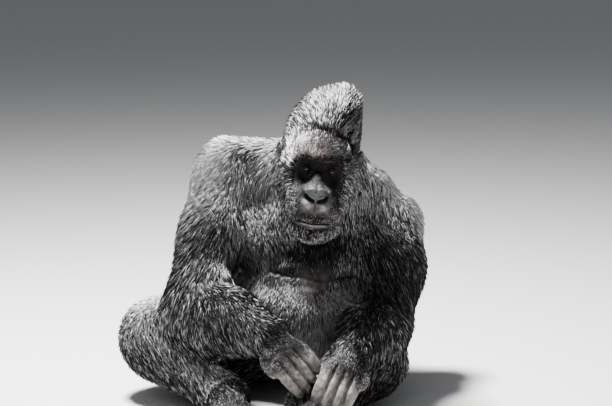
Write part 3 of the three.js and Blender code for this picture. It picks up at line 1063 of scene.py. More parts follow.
@dataclass(frozen=True)
class HideFinish:
    """Black hide: leathery where it is bare, matt and streaked under the coat."""

    bare: Colour = (0.010, 0.0095, 0.010, 1.0)
    worn: Colour = (0.030, 0.026, 0.026, 1.0)
    pale: Colour = (0.225, 0.208, 0.200, 1.0)
    nose: Colour = (0.034, 0.036, 0.039, 1.0)
    under: Colour = (0.007, 0.007, 0.008, 1.0)
    silver: Colour = (0.075, 0.072, 0.077, 1.0)
    ginger: Colour = (0.10, 0.055, 0.032, 1.0)

    def build(self) -> bpy.types.Material:
        """Make the skin's material; it reads the skin's own marks.

        Returns:
            The material.
        """
        board = Board("hide")
        bare, silver, wet, ginger = board.marks("marks")
        worn = board.span(board.noise(60.0, 3.0), 0.35, 0.65, 0.45, 1.0)
        patch = board.span(board.noise(26.0, 4.0), 0.40, 0.68)
        fleck = board.span(board.noise(420.0, 2.0), 0.52, 0.66)
        hide = board.mix(board.times(patch, 0.75), self.bare, self.worn)
        hide = board.mix(board.times(fleck, 0.30), hide, self.worn)
        hide = board.mix(wet, hide, self.nose)
        # The second mark pales the hide: partly the hide's own paleness, partly painted light on the lower
        # face and chest, painted sunlight on the hands and feet and painted highlights on the nose.
        hide = board.mix(board.times(silver, worn), hide, self.pale)
        # The fourth mark carries the ginger tinge and the painted shade in the nostrils and along the
        # mouth line: on bare hide it darkens towards near black.
        hide = board.mix(ginger, hide, self.under)
        under = board.mix(silver, self.under, self.silver)
        under = board.mix(ginger, under, self.ginger)
        under = board.mix(board.span(board.noise(300.0, 3.0), 0.35, 0.7), self.under, under)
        cells = board.cells(620.0)
        fine = board.bump(cells, 0.0007, 0.55)
        lines = board.bump(board.noise(210.0, 5.0, 0.65), 0.0026, 0.6, fine)
        rough = board.span(board.noise(90.0, 3.0), 0.3, 0.7, 0.52, 0.70)
        rough = board.less(rough, board.times(wet, 0.26))
        rough = board.add("Mix", {"data_type": "FLOAT"}, _0=bare, _2=0.85, _3=rough).outputs[0]
        board.shade(
            Base_Color=board.mix(bare, under, hide),
            Roughness=rough,
            Specular_IOR_Level=board.span(wet, 0.0, 1.0, 0.12, 0.62),
            Normal=lines,
        )
        return board.material


@dataclass(frozen=True)
class EarFinish:
    """The thin dark hide of the ears."""

    dark: Colour = (0.020, 0.019, 0.021, 1.0)
    pale: Colour = (0.060, 0.052, 0.052, 1.0)

    def build(self) -> bpy.types.Material:
        """Make the ears' material.

        Returns:
            The material.
        """
        board = Board("ear_hide")
        patch = board.span(board.noise(70.0, 4.0), 0.35, 0.7)
        fine = board.bump(board.cells(800.0), 0.0005, 0.5)
        board.shade(
            Base_Color=board.mix(patch, self.dark, self.pale),
            Roughness=board.span(board.noise(160.0), 0.3, 0.7, 0.45, 0.62),
            Normal=board.bump(board.noise(260.0, 4.0), 0.001, 0.4, fine),
        )
        return board.material


@dataclass(frozen=True)
class NailFinish:
    """Dark, faintly ridged nail."""

    dark: Colour = (0.018, 0.017, 0.018, 1.0)
    pale: Colour = (0.085, 0.075, 0.068, 1.0)

    def build(self) -> bpy.types.Material:
        """Make the nails' material.

        Returns:
            The material.
        """
        board = Board("nail")
        patch = board.span(board.noise(240.0, 3.0), 0.4, 0.7)
        board.shade(
            Base_Color=board.mix(patch, self.dark, self.pale),
            Roughness=board.span(board.noise(500.0), 0.3, 0.7, 0.26, 0.42),
            Normal=board.bump(board.noise(900.0, 2.0), 0.0003, 0.4),
        )
        return board.material


@dataclass(frozen=True)
class EyeFinish:
    """A wet dark brown eye."""

    pupil: Colour = (0.002, 0.002, 0.002, 1.0)
    iris: Colour = (0.085, 0.036, 0.014, 1.0)
    rim: Colour = (0.006, 0.004, 0.003, 1.0)
    white: Colour = (0.050, 0.030, 0.022, 1.0)

    def build(self) -> bpy.types.Material:
        """Make the eyes' material; it reads each eye's own rings.

        Returns:
            The material.
        """
        board = Board("eye")
        out, turn, _, _ = board.marks("rings")
        place = board.add("CombineXYZ", X=board.times(turn, 46.0), Y=board.times(out, 9.0)).outputs[0]
        spokes = board.add("TexNoise", {"noise_dimensions": "2D"}, Vector=place, Scale=1.0, Detail=3.0)
        iris = board.mix(board.span(spokes.outputs["Fac"], 0.35, 0.7), self.rim, self.iris)
        colour = board.mix(board.span(out, 0.115, 0.135), self.pupil, iris)
        colour = board.mix(board.span(out, 0.25, 0.285), colour, self.rim)
        colour = board.mix(board.span(out, 0.30, 0.36), colour, self.white)
        board.shade(
            Base_Color=colour,
            Roughness=0.12,
            Coat_Weight=0.15,
            Coat_Roughness=0.05,
            Normal=board.bump(board.noise(700.0, 2.0), 0.0001, 0.15),
        )
        return board.material


@dataclass(frozen=True)
class FloorFinish:
    """A plain pale floor."""

    colour: Colour = (0.55, 0.545, 0.53, 1.0)

    def build(self) -> bpy.types.Material:
        """Make the floor's material.

        Returns:
            The material.
        """
        board = Board("floor")
        board.shade(Base_Color=self.colour, Roughness=0.8)
        return board.material


# ---------------------------------------------------------------- the coat


@dataclass
class Field:
    """What the coat needs to know at each point of the skin."""

    points: Array
    normals: Array
    label: Array
    local: Array
    way: Array
    length: Array
    width: Array
    lift: Array
    crowd: Array
    silver: Array
    ginger: Array
    bare: Array
    wet: Array
    tone: Array


@dataclass(frozen=True)
class Lie:
    """The way hair runs on a limb: from one joint towards another, with a lean out, back and up."""

    start: str
    end: str
    share: float
    lean: Point


LIES: dict[Limb, Lie] = {
    Limb.UPPER_ARM: Lie("shoulder", "elbow", 1.0, (0.35, 0.22, -0.10)),
    Limb.FOREARM: Lie("elbow", "wrist", 0.7, (0.15, 0.0, -0.75)),
    Limb.HAND: Lie("wrist", "knuckles", 1.0, (0.0, 0.0, 0.0)),
    Limb.THIGH: Lie("hip", "knee", 0.8, (0.0, 0.05, -0.60)),
    Limb.SHIN: Lie("knee", "ankle", 0.8, (0.0, 0.0, -0.45)),
    Limb.FOOT: Lie("ankle", "ball", 1.0, (0.0, 0.0, 0.0)),
}


@dataclass(frozen=True)
class ArmTone:
    """The silver of an upper arm, at its elbow and shoulder, and where along it the tone changes: partly
    its own silver, partly painted light.
    """

    tones: tuple[float, float]
    reach: tuple[float, float]


# Painted light over the arms' real silver: the right shoulder is pushed to near white as painted sheen,
# and the left arm is kept dark as painted shade.
ARM_SILVER_AND_PAINTED_LIGHT: dict[str, ArmTone] = {
    "right": ArmTone((0.20, 1.00), (0.50, 1.10)),
    "left": ArmTone((-0.40, 0.86), (0.72, 1.16)),
}


@dataclass
class Coat:
    """Tufts of hair over the skin, as closed thin locks that follow its lie."""

    bones: Skeleton
    tufts: int = 362_000
    most: int = 49_000
    clump: int = 10
    pull: float = 0.21
    wander: float = 0.30
    stray: float = 0.13
    clump_share: float = 0.12
    tip_gap: float = 0.0012
    seed: int = 11

    def lie_on(self, limb: Limb, side: str, points: Array, normals: Array, local: Array) -> Array:
        """The direction that hair takes on one part.

        Args:
            limb: the kind of part.
            side: right, left, or nothing.
            points: places on it.
            normals: the skin's normals there.
            local: the places in the head's millimetres.

        Returns:
            A direction for each place, not yet laid along the skin.
        """
        bones = self.bones
        one = np.ones(len(points))
        rear = smooth(normals[:, 1], -0.25, 0.4)
        if limb is Limb.HEAD:
            x, y, z = local.T
            away = np.sign(x)
            brow = smooth(-y, 30.0, 60.0)
            crown = np.stack([x * (0.0035 + 0.010 * brow), 1.0 - 0.8 * brow, 0.30 + 0.7 * brow], axis=1)
            cheek = np.stack([0.45 * away, 0.60 * one, -0.80 * one], axis=1)
            chin = np.stack([0.006 * x, -0.10 * one, -one], axis=1)
            nape = np.stack([0.004 * x, 0.35 * one, -one], axis=1)
            way = blend(cheek, crown, smooth(z, -45.0, 0.0)[:, None])
            low = (1.0 - smooth(z, -150.0, -100.0)) * (1.0 - smooth(np.abs(x), 45.0, 70.0))
            way = blend(way, chin, (low * smooth(-y, 20.0, 50.0))[:, None])
            way = blend(way, nape, smooth(y, 40.0, 100.0)[:, None])
            return way @ bones.axes.T
        across = np.clip((points[:, 0] - bones.origin[0] + 0.02) / 0.16, -1.0, 1.0)
        if limb is Limb.NECK:
            return np.stack([0.6 * across, blend(-0.15 * one, 0.7 * one, rear), -0.8 * one], axis=1)
        if limb is Limb.TRUNK:
            top = smooth(normals[:, 2], 0.35, 0.85)
            breast = (1.0 - rear) * smooth(points[:, 2], 0.30, 0.40)
            way = np.stack([across * (0.25 - 0.85 * breast), 0.25 * rear, -one], axis=1)
            over = np.stack([0.55 * across, 0.9 * one, -0.3 * one], axis=1)
            return blend(way, over, top[:, None])
        lie = LIES[limb]
        lean = np.array(lie.lean) * np.array([SIDES[side], 1.0, 1.0])
        way = bones.along(f"{lie.start}_{side}", f"{lie.end}_{side}") * lie.share + lean
        return np.repeat(way[None, :], len(points), axis=0)

    def ways_over(self, net: Net, normals: Array, label: Array, local: Array) -> Array:
        """The direction of the hair at each point, laid along the skin.

        Args:
            net: the skin's net.
            normals: its normals.
            label: the number of each point's node.
            local: its points in the head's millimetres.

        Returns:
            A direction for each point.
        """
        way = np.zeros_like(net.points)
        for number, part in enumerate(PARTS):
            mine = label == number
            side = part.value.rpartition("_")[2]
            lies = self.lie_on(LIMBS[number], side, net.points[mine], normals[mine], local[mine])
            way[mine] = unit(lies)
        swirls = [waves(net.points, 0.16, 31 + k) for k in range(3)]
        way = way + self.wander * np.stack(swirls, axis=1)
        return laid(net.soften(way, 24), net.soften(normals, 4))

    def survey(self, piece: bpy.types.Object) -> Field:
        """Work out how hair grows at each point of the skin.

        Args:
            piece: the skin.

        Returns:
            The values at its points.
        """
        net = Net(piece.data)
        points = net.points
        normals = normals_of(piece)
        label = nodes_at(points)
        local = self.bones.to_head(points)
        way = self.ways_over(net, normals, label, local)
        pelts = [PELTS[limb] for limb in LIMBS]
        sizes = np.array([[p.length, p.width, p.lift, p.crowd, p.silver] for p in pelts])[label]
        sizes = net.soften(self.on_body(points, normals, label, sizes), 14)
        on_head = on_part(label, Part.HEAD) * 1.0
        head_sizes, ginger = self.on_head(local)
        sizes = blend(sizes, head_sizes, net.soften(on_head, 3)[:, None])
        length, width, lift, crowd, silver = sizes.T
        x, z = np.abs(local[:, 0]), local[:, 2]
        face = face_share(local) * on_head
        bare = 1.0 - np.clip(crowd / 1.2, 0.0, 1.0)
        front = np.stack([x, z], axis=1)
        # Painted shade in the nostrils and along the mouth line.
        painted_hollow_shade = near(from_line(front, NOSTRIL.path()), 4.8)
        painted_hollow_shade = face * np.maximum(painted_hollow_shade, near(from_line(front, MOUTH.path()), 2.2))
        wet = face * np.clip(near(np.hypot(x / 1.25, z + 64.0), 28.0) * 1.6 - 0.3, 0.0, 1.0)
        wet = wet * (1.0 - 0.8 * painted_hollow_shade)
        digits = net.soften(on_limb(label, Limb.HAND, Limb.FOOT) * 1.0, 3)
        # Painted shadow of the chin: the bare chest is paler below and left dark at its top.
        plate = 0.50 * (1.0 - smooth(points[:, 2], 0.32, 0.41)) * (1.0 - face)
        # Painted sunlight on the bare hands and feet, which are made pale.
        hide_tone_and_painted_light = plate + 0.92 * digits + face * self.face_tone_and_painted_light(x, z)
        # On bare hide the tone carries the painted highlights, light and shadow above, lowered by the
        # painted hollow shade.
        tone = blend(silver, hide_tone_and_painted_light * (1.0 - painted_hollow_shade), bare)
        # The ginger mark also carries the painted shade in the nostrils and along the mouth line.
        ginger = np.maximum(ginger * on_head, painted_hollow_shade)
        return Field(
            points, normals, label, local, way, length, width, lift, crowd, silver, ginger, bare, wet, tone
        )

    def face_tone_and_painted_light(self, x: Array, z: Array) -> Array:
        """How pale the bare hide is on the front of the face, painted highlights and painted light among
        it: 0 to 1.

        Args:
            x: how far each place is from the middle of the face, in millimetres.
            z: its height there.

        Returns:
            A tone for each place, from 0 to 1.
        """
        # Paler on the lower face: partly the hide's own colour, partly painted light where the face is lit
        # below the brow's shade.
        low = 1.0 - smooth(z, -80.0, -60.0)
        lip = near(z + 144.5, 2.2) * (1.0 - smooth(x, 26.0, 38.0))
        # Painted highlights on the nose's lobes and on the top of the nose.
        lobe = near(np.hypot(x - 20.0, z + 87.0), 11.0)
        top = near(np.hypot(x / 20.0, (z + 42.0) / 7.0), 1.0)
        return np.clip(0.32 * low + 0.75 * lip + 0.90 * lobe + 0.50 * top, 0.0, 1.0)

    def on_body(self, points: Array, normals: Array, label: Array, sizes: Array) -> Array:
        """Change the coat's sizes from place to place on the body.

        Args:
            points: places on the skin.
            normals: its normals there.
            label: the number of each place's node.
            sizes: rows of length, width, lift, crowd and silver.

        Returns:
            The rows, changed.
        """
        length, width, lift, crowd, silver = sizes.T.copy()
        rear = smooth(normals[:, 1], -0.2, 0.45)
        trunk = on_limb(label, Limb.TRUNK)
        front = 0.45 + 0.34 * (1.0 - smooth(points[:, 2], 0.30, 0.38))
        # The back's silver is its real saddle, pushed paler in part as painted sheen.
        silver = np.where(trunk, blend(front, 0.88, rear), silver)
        length = np.where(trunk, blend(0.034, 0.040, rear), length)
        plate = ChestPlate(self.bones)
        high = smooth(points[:, 2], 0.36, 0.42)
        crowd = crowd * (1.0 - plate.bare(points) * (1.0 - rear) * (1.0 - 0.6 * high))
        # Painted shadow of the chin: hair round the top of the bare chest is darkened.
        silver = silver * (1.0 - 0.9 * plate.near(points) * (1.0 - rear) * high)
        length = length * (1.0 - 0.5 * plate.near(points) * (1.0 - rear))
        arms = on_limb(label, Limb.FOREARM, Limb.UPPER_ARM)
        # The upper arms' silver, with painted sheen on the shoulders and painted shade on the left arm.
        for side, tone in ARM_SILVER_AND_PAINTED_LIGHT.items():
            elbow, shoulder = self.bones.at(f"elbow_{side}"), self.bones.at(f"shoulder_{side}")
            down = np.linalg.norm(points - elbow, axis=1) / np.linalg.norm(shoulder - elbow)
            upper_arm = on_part(label, Part(f"upper_arm_{side}"))
            silver = np.where(upper_arm, blend(*tone.tones, smooth(down, *tone.reach)), silver)
            length = np.where(arms, length + 0.014 * near(down, 0.35), length)
        # Painted shade: the left forearm, on the side away from the light, is darker.
        silver = silver - 0.15 * on_limb(label, Limb.FOREARM) * (points[:, 0] > 0.07)
        # Painted light: legs are paler where they face up and towards the animal's right, where light
        # falls; the thighs also get some real silver.
        upward = smooth(normals[:, 2] - 0.4 * normals[:, 0], 0.0, 0.9)
        leg_silver_and_painted_light = 0.04 + 0.54 * upward + 0.18 * on_limb(label, Limb.THIGH)
        silver = np.where(on_limb(label, Limb.THIGH, Limb.SHIN), leg_silver_and_painted_light, silver)
        for kind, origin, joint, toes in (
            (Limb.HAND, "wrist", "knuckles", -0.034),
            (Limb.FOOT, "ankle", "ball", -0.010),
        ):
            for side in SIDES:
                mine = on_part(label, Part(f"{kind.value}_{side}"))
                tip = self.bones.at(f"{joint}_{side}")
                before = (tip - points) @ self.bones.along(f"{origin}_{side}", f"{joint}_{side}")
                upper = smooth(normals[:, 2], -0.35, 0.25)
                crowd = np.where(mine, crowd * (smooth(before, toes, toes + 0.036) * upper), crowd)
                length = np.where(mine, length * (0.6 + 1.2 * smooth(before, 0.03, 0.09)), length)
        underside = smooth(-normals[:, 2], 0.75, 0.98) * (points[:, 2] < 0.02)
        crowd = crowd * (1.0 - 0.9 * underside)
        # Uneven silver: partly real patches in the coat, partly painted dapples of sunlight and shade.
        silver_patches_and_painted_dapple = waves(points, 0.11, 5) * 0.36 + waves(points, 0.038, 6) * 0.30
        silver = np.clip(silver + silver_patches_and_painted_dapple * (0.4 + 0.6 * smooth(silver, 0.05, 0.4)), 0.02, 1.0)
        length = length * (1.0 + 0.16 * waves(points, 0.06, 9))
        return np.stack([length, width, lift, crowd, silver], axis=1)

    def on_head(self, local: Array) -> tuple[Array, Array]:
        """The coat's sizes and ginger tinge on the head.

        Args:
            local: places in the head's millimetres.

        Returns:
            Rows of length, width, lift, crowd and silver, and the tinge for each place.
        """
        x, y, z = local.T
        side = np.abs(x)
        front = smooth(-y, 30.0, 58.0)
        crown = smooth(z, 56.0, 80.0)
        rear = smooth(y, 20.0, 90.0)
        cheek = smooth(side + 9.0 * smooth(z, -30.0, 8.0), 54.0, 70.0) * (1.0 - crown)
        edge = 10.0 - 0.0022 * x * x
        brow = front * smooth(z - edge, -2.0, 9.0) * (1.0 - crown)
        chin = front * (1.0 - smooth(z, -166.0, -150.0)) * (1.0 - cheek)
        muzzle = front * smooth(side, 34.0, 50.0) * near(z + 108.0, 32.0) * (1.0 - cheek)
        lip = front * near(z + 122.0, 10.0) * (1.0 - smooth(side, 26.0, 40.0))
        skin = front * (1.0 - np.clip(brow + cheek + crown + chin, 0.0, 1.0))
        length = 0.020 + 0.004 * crown + 0.012 * rear + 0.006 * cheek - 0.012 * brow
        length = length - 0.010 * chin - 0.015 * skin
        width = 0.0012 - 0.0002 * brow - 0.0001 * chin - 0.0003 * skin
        lift = 13.0 + 3.0 * crown * (1.0 - rear) + 8.0 * brow + 14.0 * chin
        lift = lift + 7.0 * smooth(x, 14.0, 44.0) * smooth(z, 104.0, 146.0)
        crowd = blend(2.6, 0.0, skin) + 3.4 * brow - 0.6 * chin + 2.4 * muzzle + 1.6 * lip
        warm = near(np.hypot((x + 16.0) / 46.0, (z - 26.0) / 30.0), 1.0) * front * (1.0 - crown)
        # The brow's upper part towards the animal's right is silvered: partly its silver hair, partly
        # painted light on the side the light falls on.
        upper = brow * (0.2 + 0.8 * smooth(-x, 14.0, 46.0)) * smooth(z - 0.25 * side, 10.0, 34.0)
        silver = 0.30 + 0.06 * crown - 0.12 * brow + 0.42 * upper + 0.12 * rear + 0.06 * chin
        silver = silver + 0.08 * crown * smooth(x, 0.0, 40.0)
        silver = silver + 0.30 * muzzle * smooth(-z, 92.0, 118.0) - 0.24 * warm + 0.08 * cheek
        # Painted shade: the brow is darkened from its middle towards the animal's left.
        silver = silver - 0.26 * brow * smooth(x, -30.0, 8.0)
        silver = silver + 0.14 * waves(local * MM, 0.022, 41) + 0.10 * waves(local * MM, 0.009, 42)
        ginger = 0.85 * warm + 0.12 * crown * (1.0 - rear) + 0.08 * chin
        rows = np.stack([length, width, lift, crowd, np.clip(silver, 0.07, 1.0)], axis=1)
        return rows, np.clip(ginger, 0.0, 1.0)

    def mark(self, piece: bpy.types.Object, at: Field) -> None:
        """Write the same markings on the skin as the coat has, painted light and shade among them."""
        rows = np.stack([at.bare, at.tone, at.wet, at.ginger], axis=1)
        paint(piece, "marks", rows)

    def piece_names(self, at: Field, roots: Array) -> Array:
        """The coat piece that each root belongs to.

        Args:
            at: the values at the skin's points.
            roots: the number of the point nearest each root.

        Returns:
            A name for each root.
        """
        label = at.label[roots]
        names = np.array([f"coat_{part.value}" for part in PARTS], dtype=object)[label]
        trunk, head = on_part(label, Part.TRUNK), on_part(label, Part.HEAD)
        left = at.points[roots, 0] > 0.06
        front = at.normals[roots, 1] < -0.1
        names[trunk & front] = "coat_chest"
        names[trunk & ~front & left] = "coat_back_left"
        names[trunk & ~front & ~left] = "coat_back_right"
        names[head & (at.local[roots, 0] >= 0.0)] = "coat_head_left"
        names[head & (at.local[roots, 0] < 0.0)] = "coat_head_right"
        for old, new in (("hand", "forearm"), ("foot", "shin")):
            for side in SIDES:
                names[names == f"coat_{old}_{side}"] = f"coat_{new}_{side}"
        return names

    def grow(self, piece: bpy.types.Object, at: Field) -> list[bpy.types.Object]:
        """Plant and shape every tuft.

        Args:
            piece: the skin.
            at: the values at its points.

        Returns:
            The coat's pieces.
        """
        chance = np.random.default_rng(self.seed)
        piece.data.calc_loop_triangles()
        tris = read(piece.data.loop_triangles, "vertices", 3, int)
        corners = at.points[tris]
        area = np.linalg.norm(
            np.cross(corners[:, 1] - corners[:, 0], corners[:, 2] - corners[:, 0]), axis=1
        ) / 2.0
        log.info("skin area %.2f m2", area.sum())
        weight = np.cumsum(area * np.maximum(at.crowd[tris].mean(axis=1), 0.0))
        picks = (np.arange(self.tufts) + chance.random(self.tufts)) / self.tufts * weight[-1]
        chosen = tris[np.searchsorted(weight, picks)]
        spread = np.sqrt(chance.random(self.tufts))
        turn = chance.random(self.tufts)
        shares = np.stack([1.0 - spread, spread * (1.0 - turn), spread * turn], axis=1)

        def here(values: Array) -> Array:
            """Values at the roots, from the corners of their triangles."""
            if values.ndim == 1:
                return (values[chosen] * shares).sum(axis=1)
            return (values[chosen] * shares[..., None]).sum(axis=1)

        root = here(at.points)
        normal = unit(here(at.normals))
        way = here(at.way)
        way = laid(unit(way + chance.normal(0.0, self.stray, way.shape)), normal)
        length = here(at.length) * chance.uniform(0.72, 1.18, self.tufts)
        width = here(at.width) * chance.uniform(0.7, 1.25, self.tufts)
        lift = np.radians(here(at.lift) * chance.uniform(0.45, 1.5, self.tufts))
        tip = root + length[:, None] * (way * np.cos(lift)[:, None] + normal * np.sin(lift)[:, None])
        middles = chance.choice(self.tufts, self.tufts // self.clump, replace=False)
        tree = KDTree(len(middles))
        for number, spot in enumerate(root[middles].tolist()):
            tree.insert(spot, number)
        tree.balance()
        nearest = np.array([tree.find(spot)[1] for spot in root.tolist()])
        centre = root[middles[nearest]]
        gather = self.pull * chance.uniform(0.5, 1.2, self.tufts)
        tip = tip - (root - centre) * gather[:, None]
        clump_tone = chance.random(len(middles))[nearest]
        draw = (1.0 - self.clump_share) * chance.random(self.tufts) + self.clump_share * clump_tone
        tip[:, 2] = np.maximum(tip[:, 2], self.tip_gap)
        on_head = on_part(at.label[chosen[:, 0]], Part.HEAD)
        silver = smooth((here(at.silver) - draw) / np.where(on_head, 0.15, 0.40), -0.9, 0.8)
        tone = chance.random(self.tufts)
        ginger = np.clip(here(at.ginger) * chance.uniform(-1.6, 1.7, self.tufts), 0.0, 1.0)
        marks = np.stack([silver, tone, ginger], axis=1)
        names = self.piece_names(at, chosen[:, 0])
        pieces = []
        for name in sorted(set(names)):
            mine = np.flatnonzero(names == name)
            log.info("%s: %d tufts", name, len(mine))
            if len(mine) > self.most:
                mine = np.sort(chance.choice(mine, self.most, replace=False))
            spikes = Spikes(root[mine], normal[mine], tip[mine], width[mine], length[mine], marks[mine])
            pieces.append(spikes.build(name))
        return pieces


@dataclass
class Spikes:
    """Closed thin locks, each from a point in the skin over a wide bend to its tip."""

    root: Array
    normal: Array
    tip: Array
    width: Array
    length: Array
    marks: Array
    patch: float = 0.003
    arch: float = 0.12
    full: float = 0.38
    sunk: float = 0.0010
    gap: float = 0.0006

    def corners(self) -> Array:
        """The four points of each lock.

        Returns:
            Its root, the two sides of its bend and its tip.
        """
        way = unit(self.tip - self.root)
        side = unit(np.cross(self.normal, way))
        proud = unit(np.cross(way, side))
        base = self.root - self.normal * self.sunk
        middle = blend(self.root, self.tip, self.full) + proud * (self.length * self.arch)[:, None]
        half = side * (self.width * 0.5)[:, None]
        points = np.stack([base, middle - half, middle + half, self.tip], axis=1)
        points[..., 2] = np.maximum(points[..., 2], self.gap)
        return points

    def unwrap(self) -> Array:
        """Each lock's place on an even unwrap of the skin round the piece's longest way.

        Returns:
            The corner of each lock's patch.
        """
        steps = self.root - self.root.mean(axis=0)
        _, ways = np.linalg.eigh(steps.T @ steps)
        turned = np.arctan2(steps @ ways[:, 0], steps @ ways[:, 1])
        order = np.argsort(steps @ ways[:, 2], kind="stable")
        rows = int(math.ceil(math.sqrt(len(order))))
        spots = np.zeros((len(order), 2))
        for row in range(rows):
            mine = order[row * rows : (row + 1) * rows]
            mine = mine[np.argsort(turned[mine], kind="stable")]
            spots[mine, 0] = (np.arange(len(mine)) + 0.25) / rows
            spots[mine, 1] = (row + 0.25) / rows
        return spots

    def build(self, name: str) -> bpy.types.Object:
        """Make the joined mesh of all the locks, with its marks and its unwrap.

        Args:
            name: the piece's name.

        Returns:
            The piece.
        """
        count = len(self.root)
        walls = np.array([(0, 2, 1), (1, 2, 3), (0, 1, 3), (0, 3, 2)])
        loops = (np.arange(count)[:, None] * 4 + walls.ravel()[None, :]).ravel()
        mesh = bpy.data.meshes.new(name)
        mesh.vertices.add(count * 4)
        mesh.vertices.foreach_set("co", self.corners().astype(np.float32).ravel())
        mesh.loops.add(len(loops))
        mesh.loops.foreach_set("vertex_index", loops.astype(np.int32))
        mesh.polygons.add(count * len(walls))
        mesh.polygons.foreach_set("loop_start", np.arange(0, len(loops), 3, dtype=np.int32))
        mesh.polygons.foreach_set("use_smooth", np.ones(count * len(walls), bool))
        mesh.update(calc_edges=True)
        mesh.validate()
        upward = np.array([0.0, self.full, self.full, 1.0])
        across = np.array([0.5, 0.0, 1.0, 0.5])
        offsets = np.stack([across, upward], axis=1)[walls.ravel()] * self.patch
        spots = (self.unwrap()[:, None, :] + offsets[None, :, :]).reshape(-1, 2)
        mesh.uv_layers.new(name="OFBake").data.foreach_set("uv", spots.astype(np.float32).ravel())
        piece = add_object(name, mesh)
        along = np.tile(upward, count)[:, None]
        paint(piece, "growth", np.concatenate([along, np.repeat(self.marks, 4, axis=0)], axis=1))
        return piece


# ---------------------------------------------------------------- eyes, ears and nails


@dataclass
class Eye:
    """One eyeball with a raised clear front."""

    bones: Skeleton
    side: str
    raised: float = 0.0010
    iris: float = math.radians(50.0)
    share: float = 0.995

    def build(self) -> bpy.types.Object:
        """Make the eyeball in the place and size of its node.

        Returns:
            The eyeball.
        """
        low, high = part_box(f"eye_{self.side}")
        middle = (low + high) / 2
        radius = (high.z - low.z) / 2 * self.share
        ahead = Vector(self.bones.axes @ unit(np.array([0.0, -1.0, -0.06])))
        ball = bmesh.new()
        bmesh.ops.create_uvsphere(ball, u_segments=40, v_segments=32, radius=radius)
        facing = ahead.to_track_quat("Z", "Y").to_matrix()
        turn(ball, facing)
        rings = []
        for vertex in ball.verts:
            way = vertex.co.normalized()
            out = way.angle(ahead)
            bulge = max(0.0, 1.0 - (out / self.iris) ** 2)
            vertex.co += way * self.raised * bulge
            flat = facing.transposed() @ way
            rings.append((out / math.pi, math.atan2(flat.y, flat.x) / math.tau + 0.5, 0.0, 1.0))
        bmesh.ops.translate(ball, verts=ball.verts[:], vec=middle)
        piece = put(ball, f"eyeball_{self.side}", soft=True)
        paint(piece, "rings", np.array(rings))
        return piece


@dataclass
class Ear:
    """One small rounded ear: a rolled rim, a groove inside it and a deep bowl."""

    bones: Skeleton
    side: str
    across: float = 0.018
    tall: float = 0.026
    thick: float = 0.0075
    stalk: float = 0.030
    fan: float = math.radians(24.0)

    def build(self) -> bpy.types.Object:
        """Shape the ear from a flattened ball and put it on the head.

        Returns:
            The ear.
        """
        form = bmesh.new()
        bmesh.ops.create_uvsphere(form, u_segments=48, v_segments=36, radius=1.0)
        turn(form, Matrix.Rotation(math.radians(90.0), 3, "Y"))
        for vertex in form.verts:
            x, y, z = vertex.co
            lobe = 0.16 * math.exp(-(((z + 0.9) / 0.45) ** 2))
            flat = math.hypot(y, z)
            rim = 0.32 * math.exp(-(((flat - 0.90) / 0.12) ** 2))
            groove = -0.42 * math.exp(-(((flat - 0.68) / 0.10) ** 2)) * (0.4 + 0.6 * (z > -0.3))
            bowl = -1.25 * math.exp(-(((y + 0.22) ** 2 + (z + 0.14) ** 2) / 0.12))
            ridge = 0.25 * math.exp(-(((math.hypot(y + 0.22, z + 0.10) - 0.5) / 0.10) ** 2))
            if x > 0:
                out = x * 0.6 + rim + groove + bowl + ridge * (y > 0)
                vertex.co = (out * self.thick, y * self.across, z * self.tall)
            else:
                inward = x * self.thick + (x**3) * self.stalk * (1.0 - flat)
                vertex.co = (inward, y * self.across * (1 + lobe), z * self.tall)
        for _ in range(2):
            bmesh.ops.smooth_vert(
                form, verts=form.verts[:], factor=0.4, use_axis_x=True, use_axis_y=True, use_axis_z=True
            )
        turn(form, Matrix.Rotation(-self.fan, 3, "Z"))
        bmesh.ops.scale(form, verts=form.verts[:], vec=(SIDES[self.side], 1.0, 1.0))
        turn(form, Matrix(self.bones.axes))
        middle = sum(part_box(f"ear_{self.side}"), Vector()) / 2
        bmesh.ops.translate(form, verts=form.verts[:], vec=middle)
        bmesh.ops.recalc_face_normals(form, faces=form.faces[:])
        return put(form, f"ear_shell_{self.side}", soft=True)


@dataclass(frozen=True)
class Digit:
    """The last stretch of a finger or toe: where its nail sits."""

    joint: Array
    tip: Array
    back: Array
    wide: float


@dataclass
class Nails:
    """The nails of one hand or foot."""

    name: str
    digits: list[Digit]
    thick: float = 0.0011
    domed: float = 0.42

    def build(self) -> bpy.types.Object:
        """Make each nail as a bent plate, and join them.

        Returns:
            The nails as one piece.
        """
        form = bmesh.new()
        for digit in self.digits:
            nail = bmesh.new()
            bmesh.ops.create_grid(nail, x_segments=8, y_segments=8, size=1.0)
            for vertex in nail.verts:
                x, y, _ = vertex.co
                round_off = math.sqrt(max(0.0, 1.0 - 0.30 * x * x * y * y))
                height = self.domed * (1.0 - x * x) - 0.10 * y * y
                vertex.co = (x * round_off, y * round_off, height)
            bmesh.ops.scale(nail, verts=nail.verts[:], vec=(digit.wide, digit.wide * 1.05, digit.wide))
            bmesh.ops.recalc_face_normals(nail, faces=nail.faces[:])
            bmesh.ops.solidify(nail, geom=nail.faces[:], thickness=self.thick)
            ahead = unit(digit.tip - digit.joint)
            over = square_to(ahead, digit.back)
            turn(nail, Matrix(np.stack([np.cross(ahead, over), ahead, over], axis=1)))
            spot = blend(digit.joint, digit.tip, 0.82) + over * digit.wide * 1.02
            bmesh.ops.translate(nail, verts=nail.verts[:], vec=Vector(spot))
            pour(nail, form)
        bmesh.ops.recalc_face_normals(form, faces=form.faces[:])
        return put(form, self.name, soft=True)


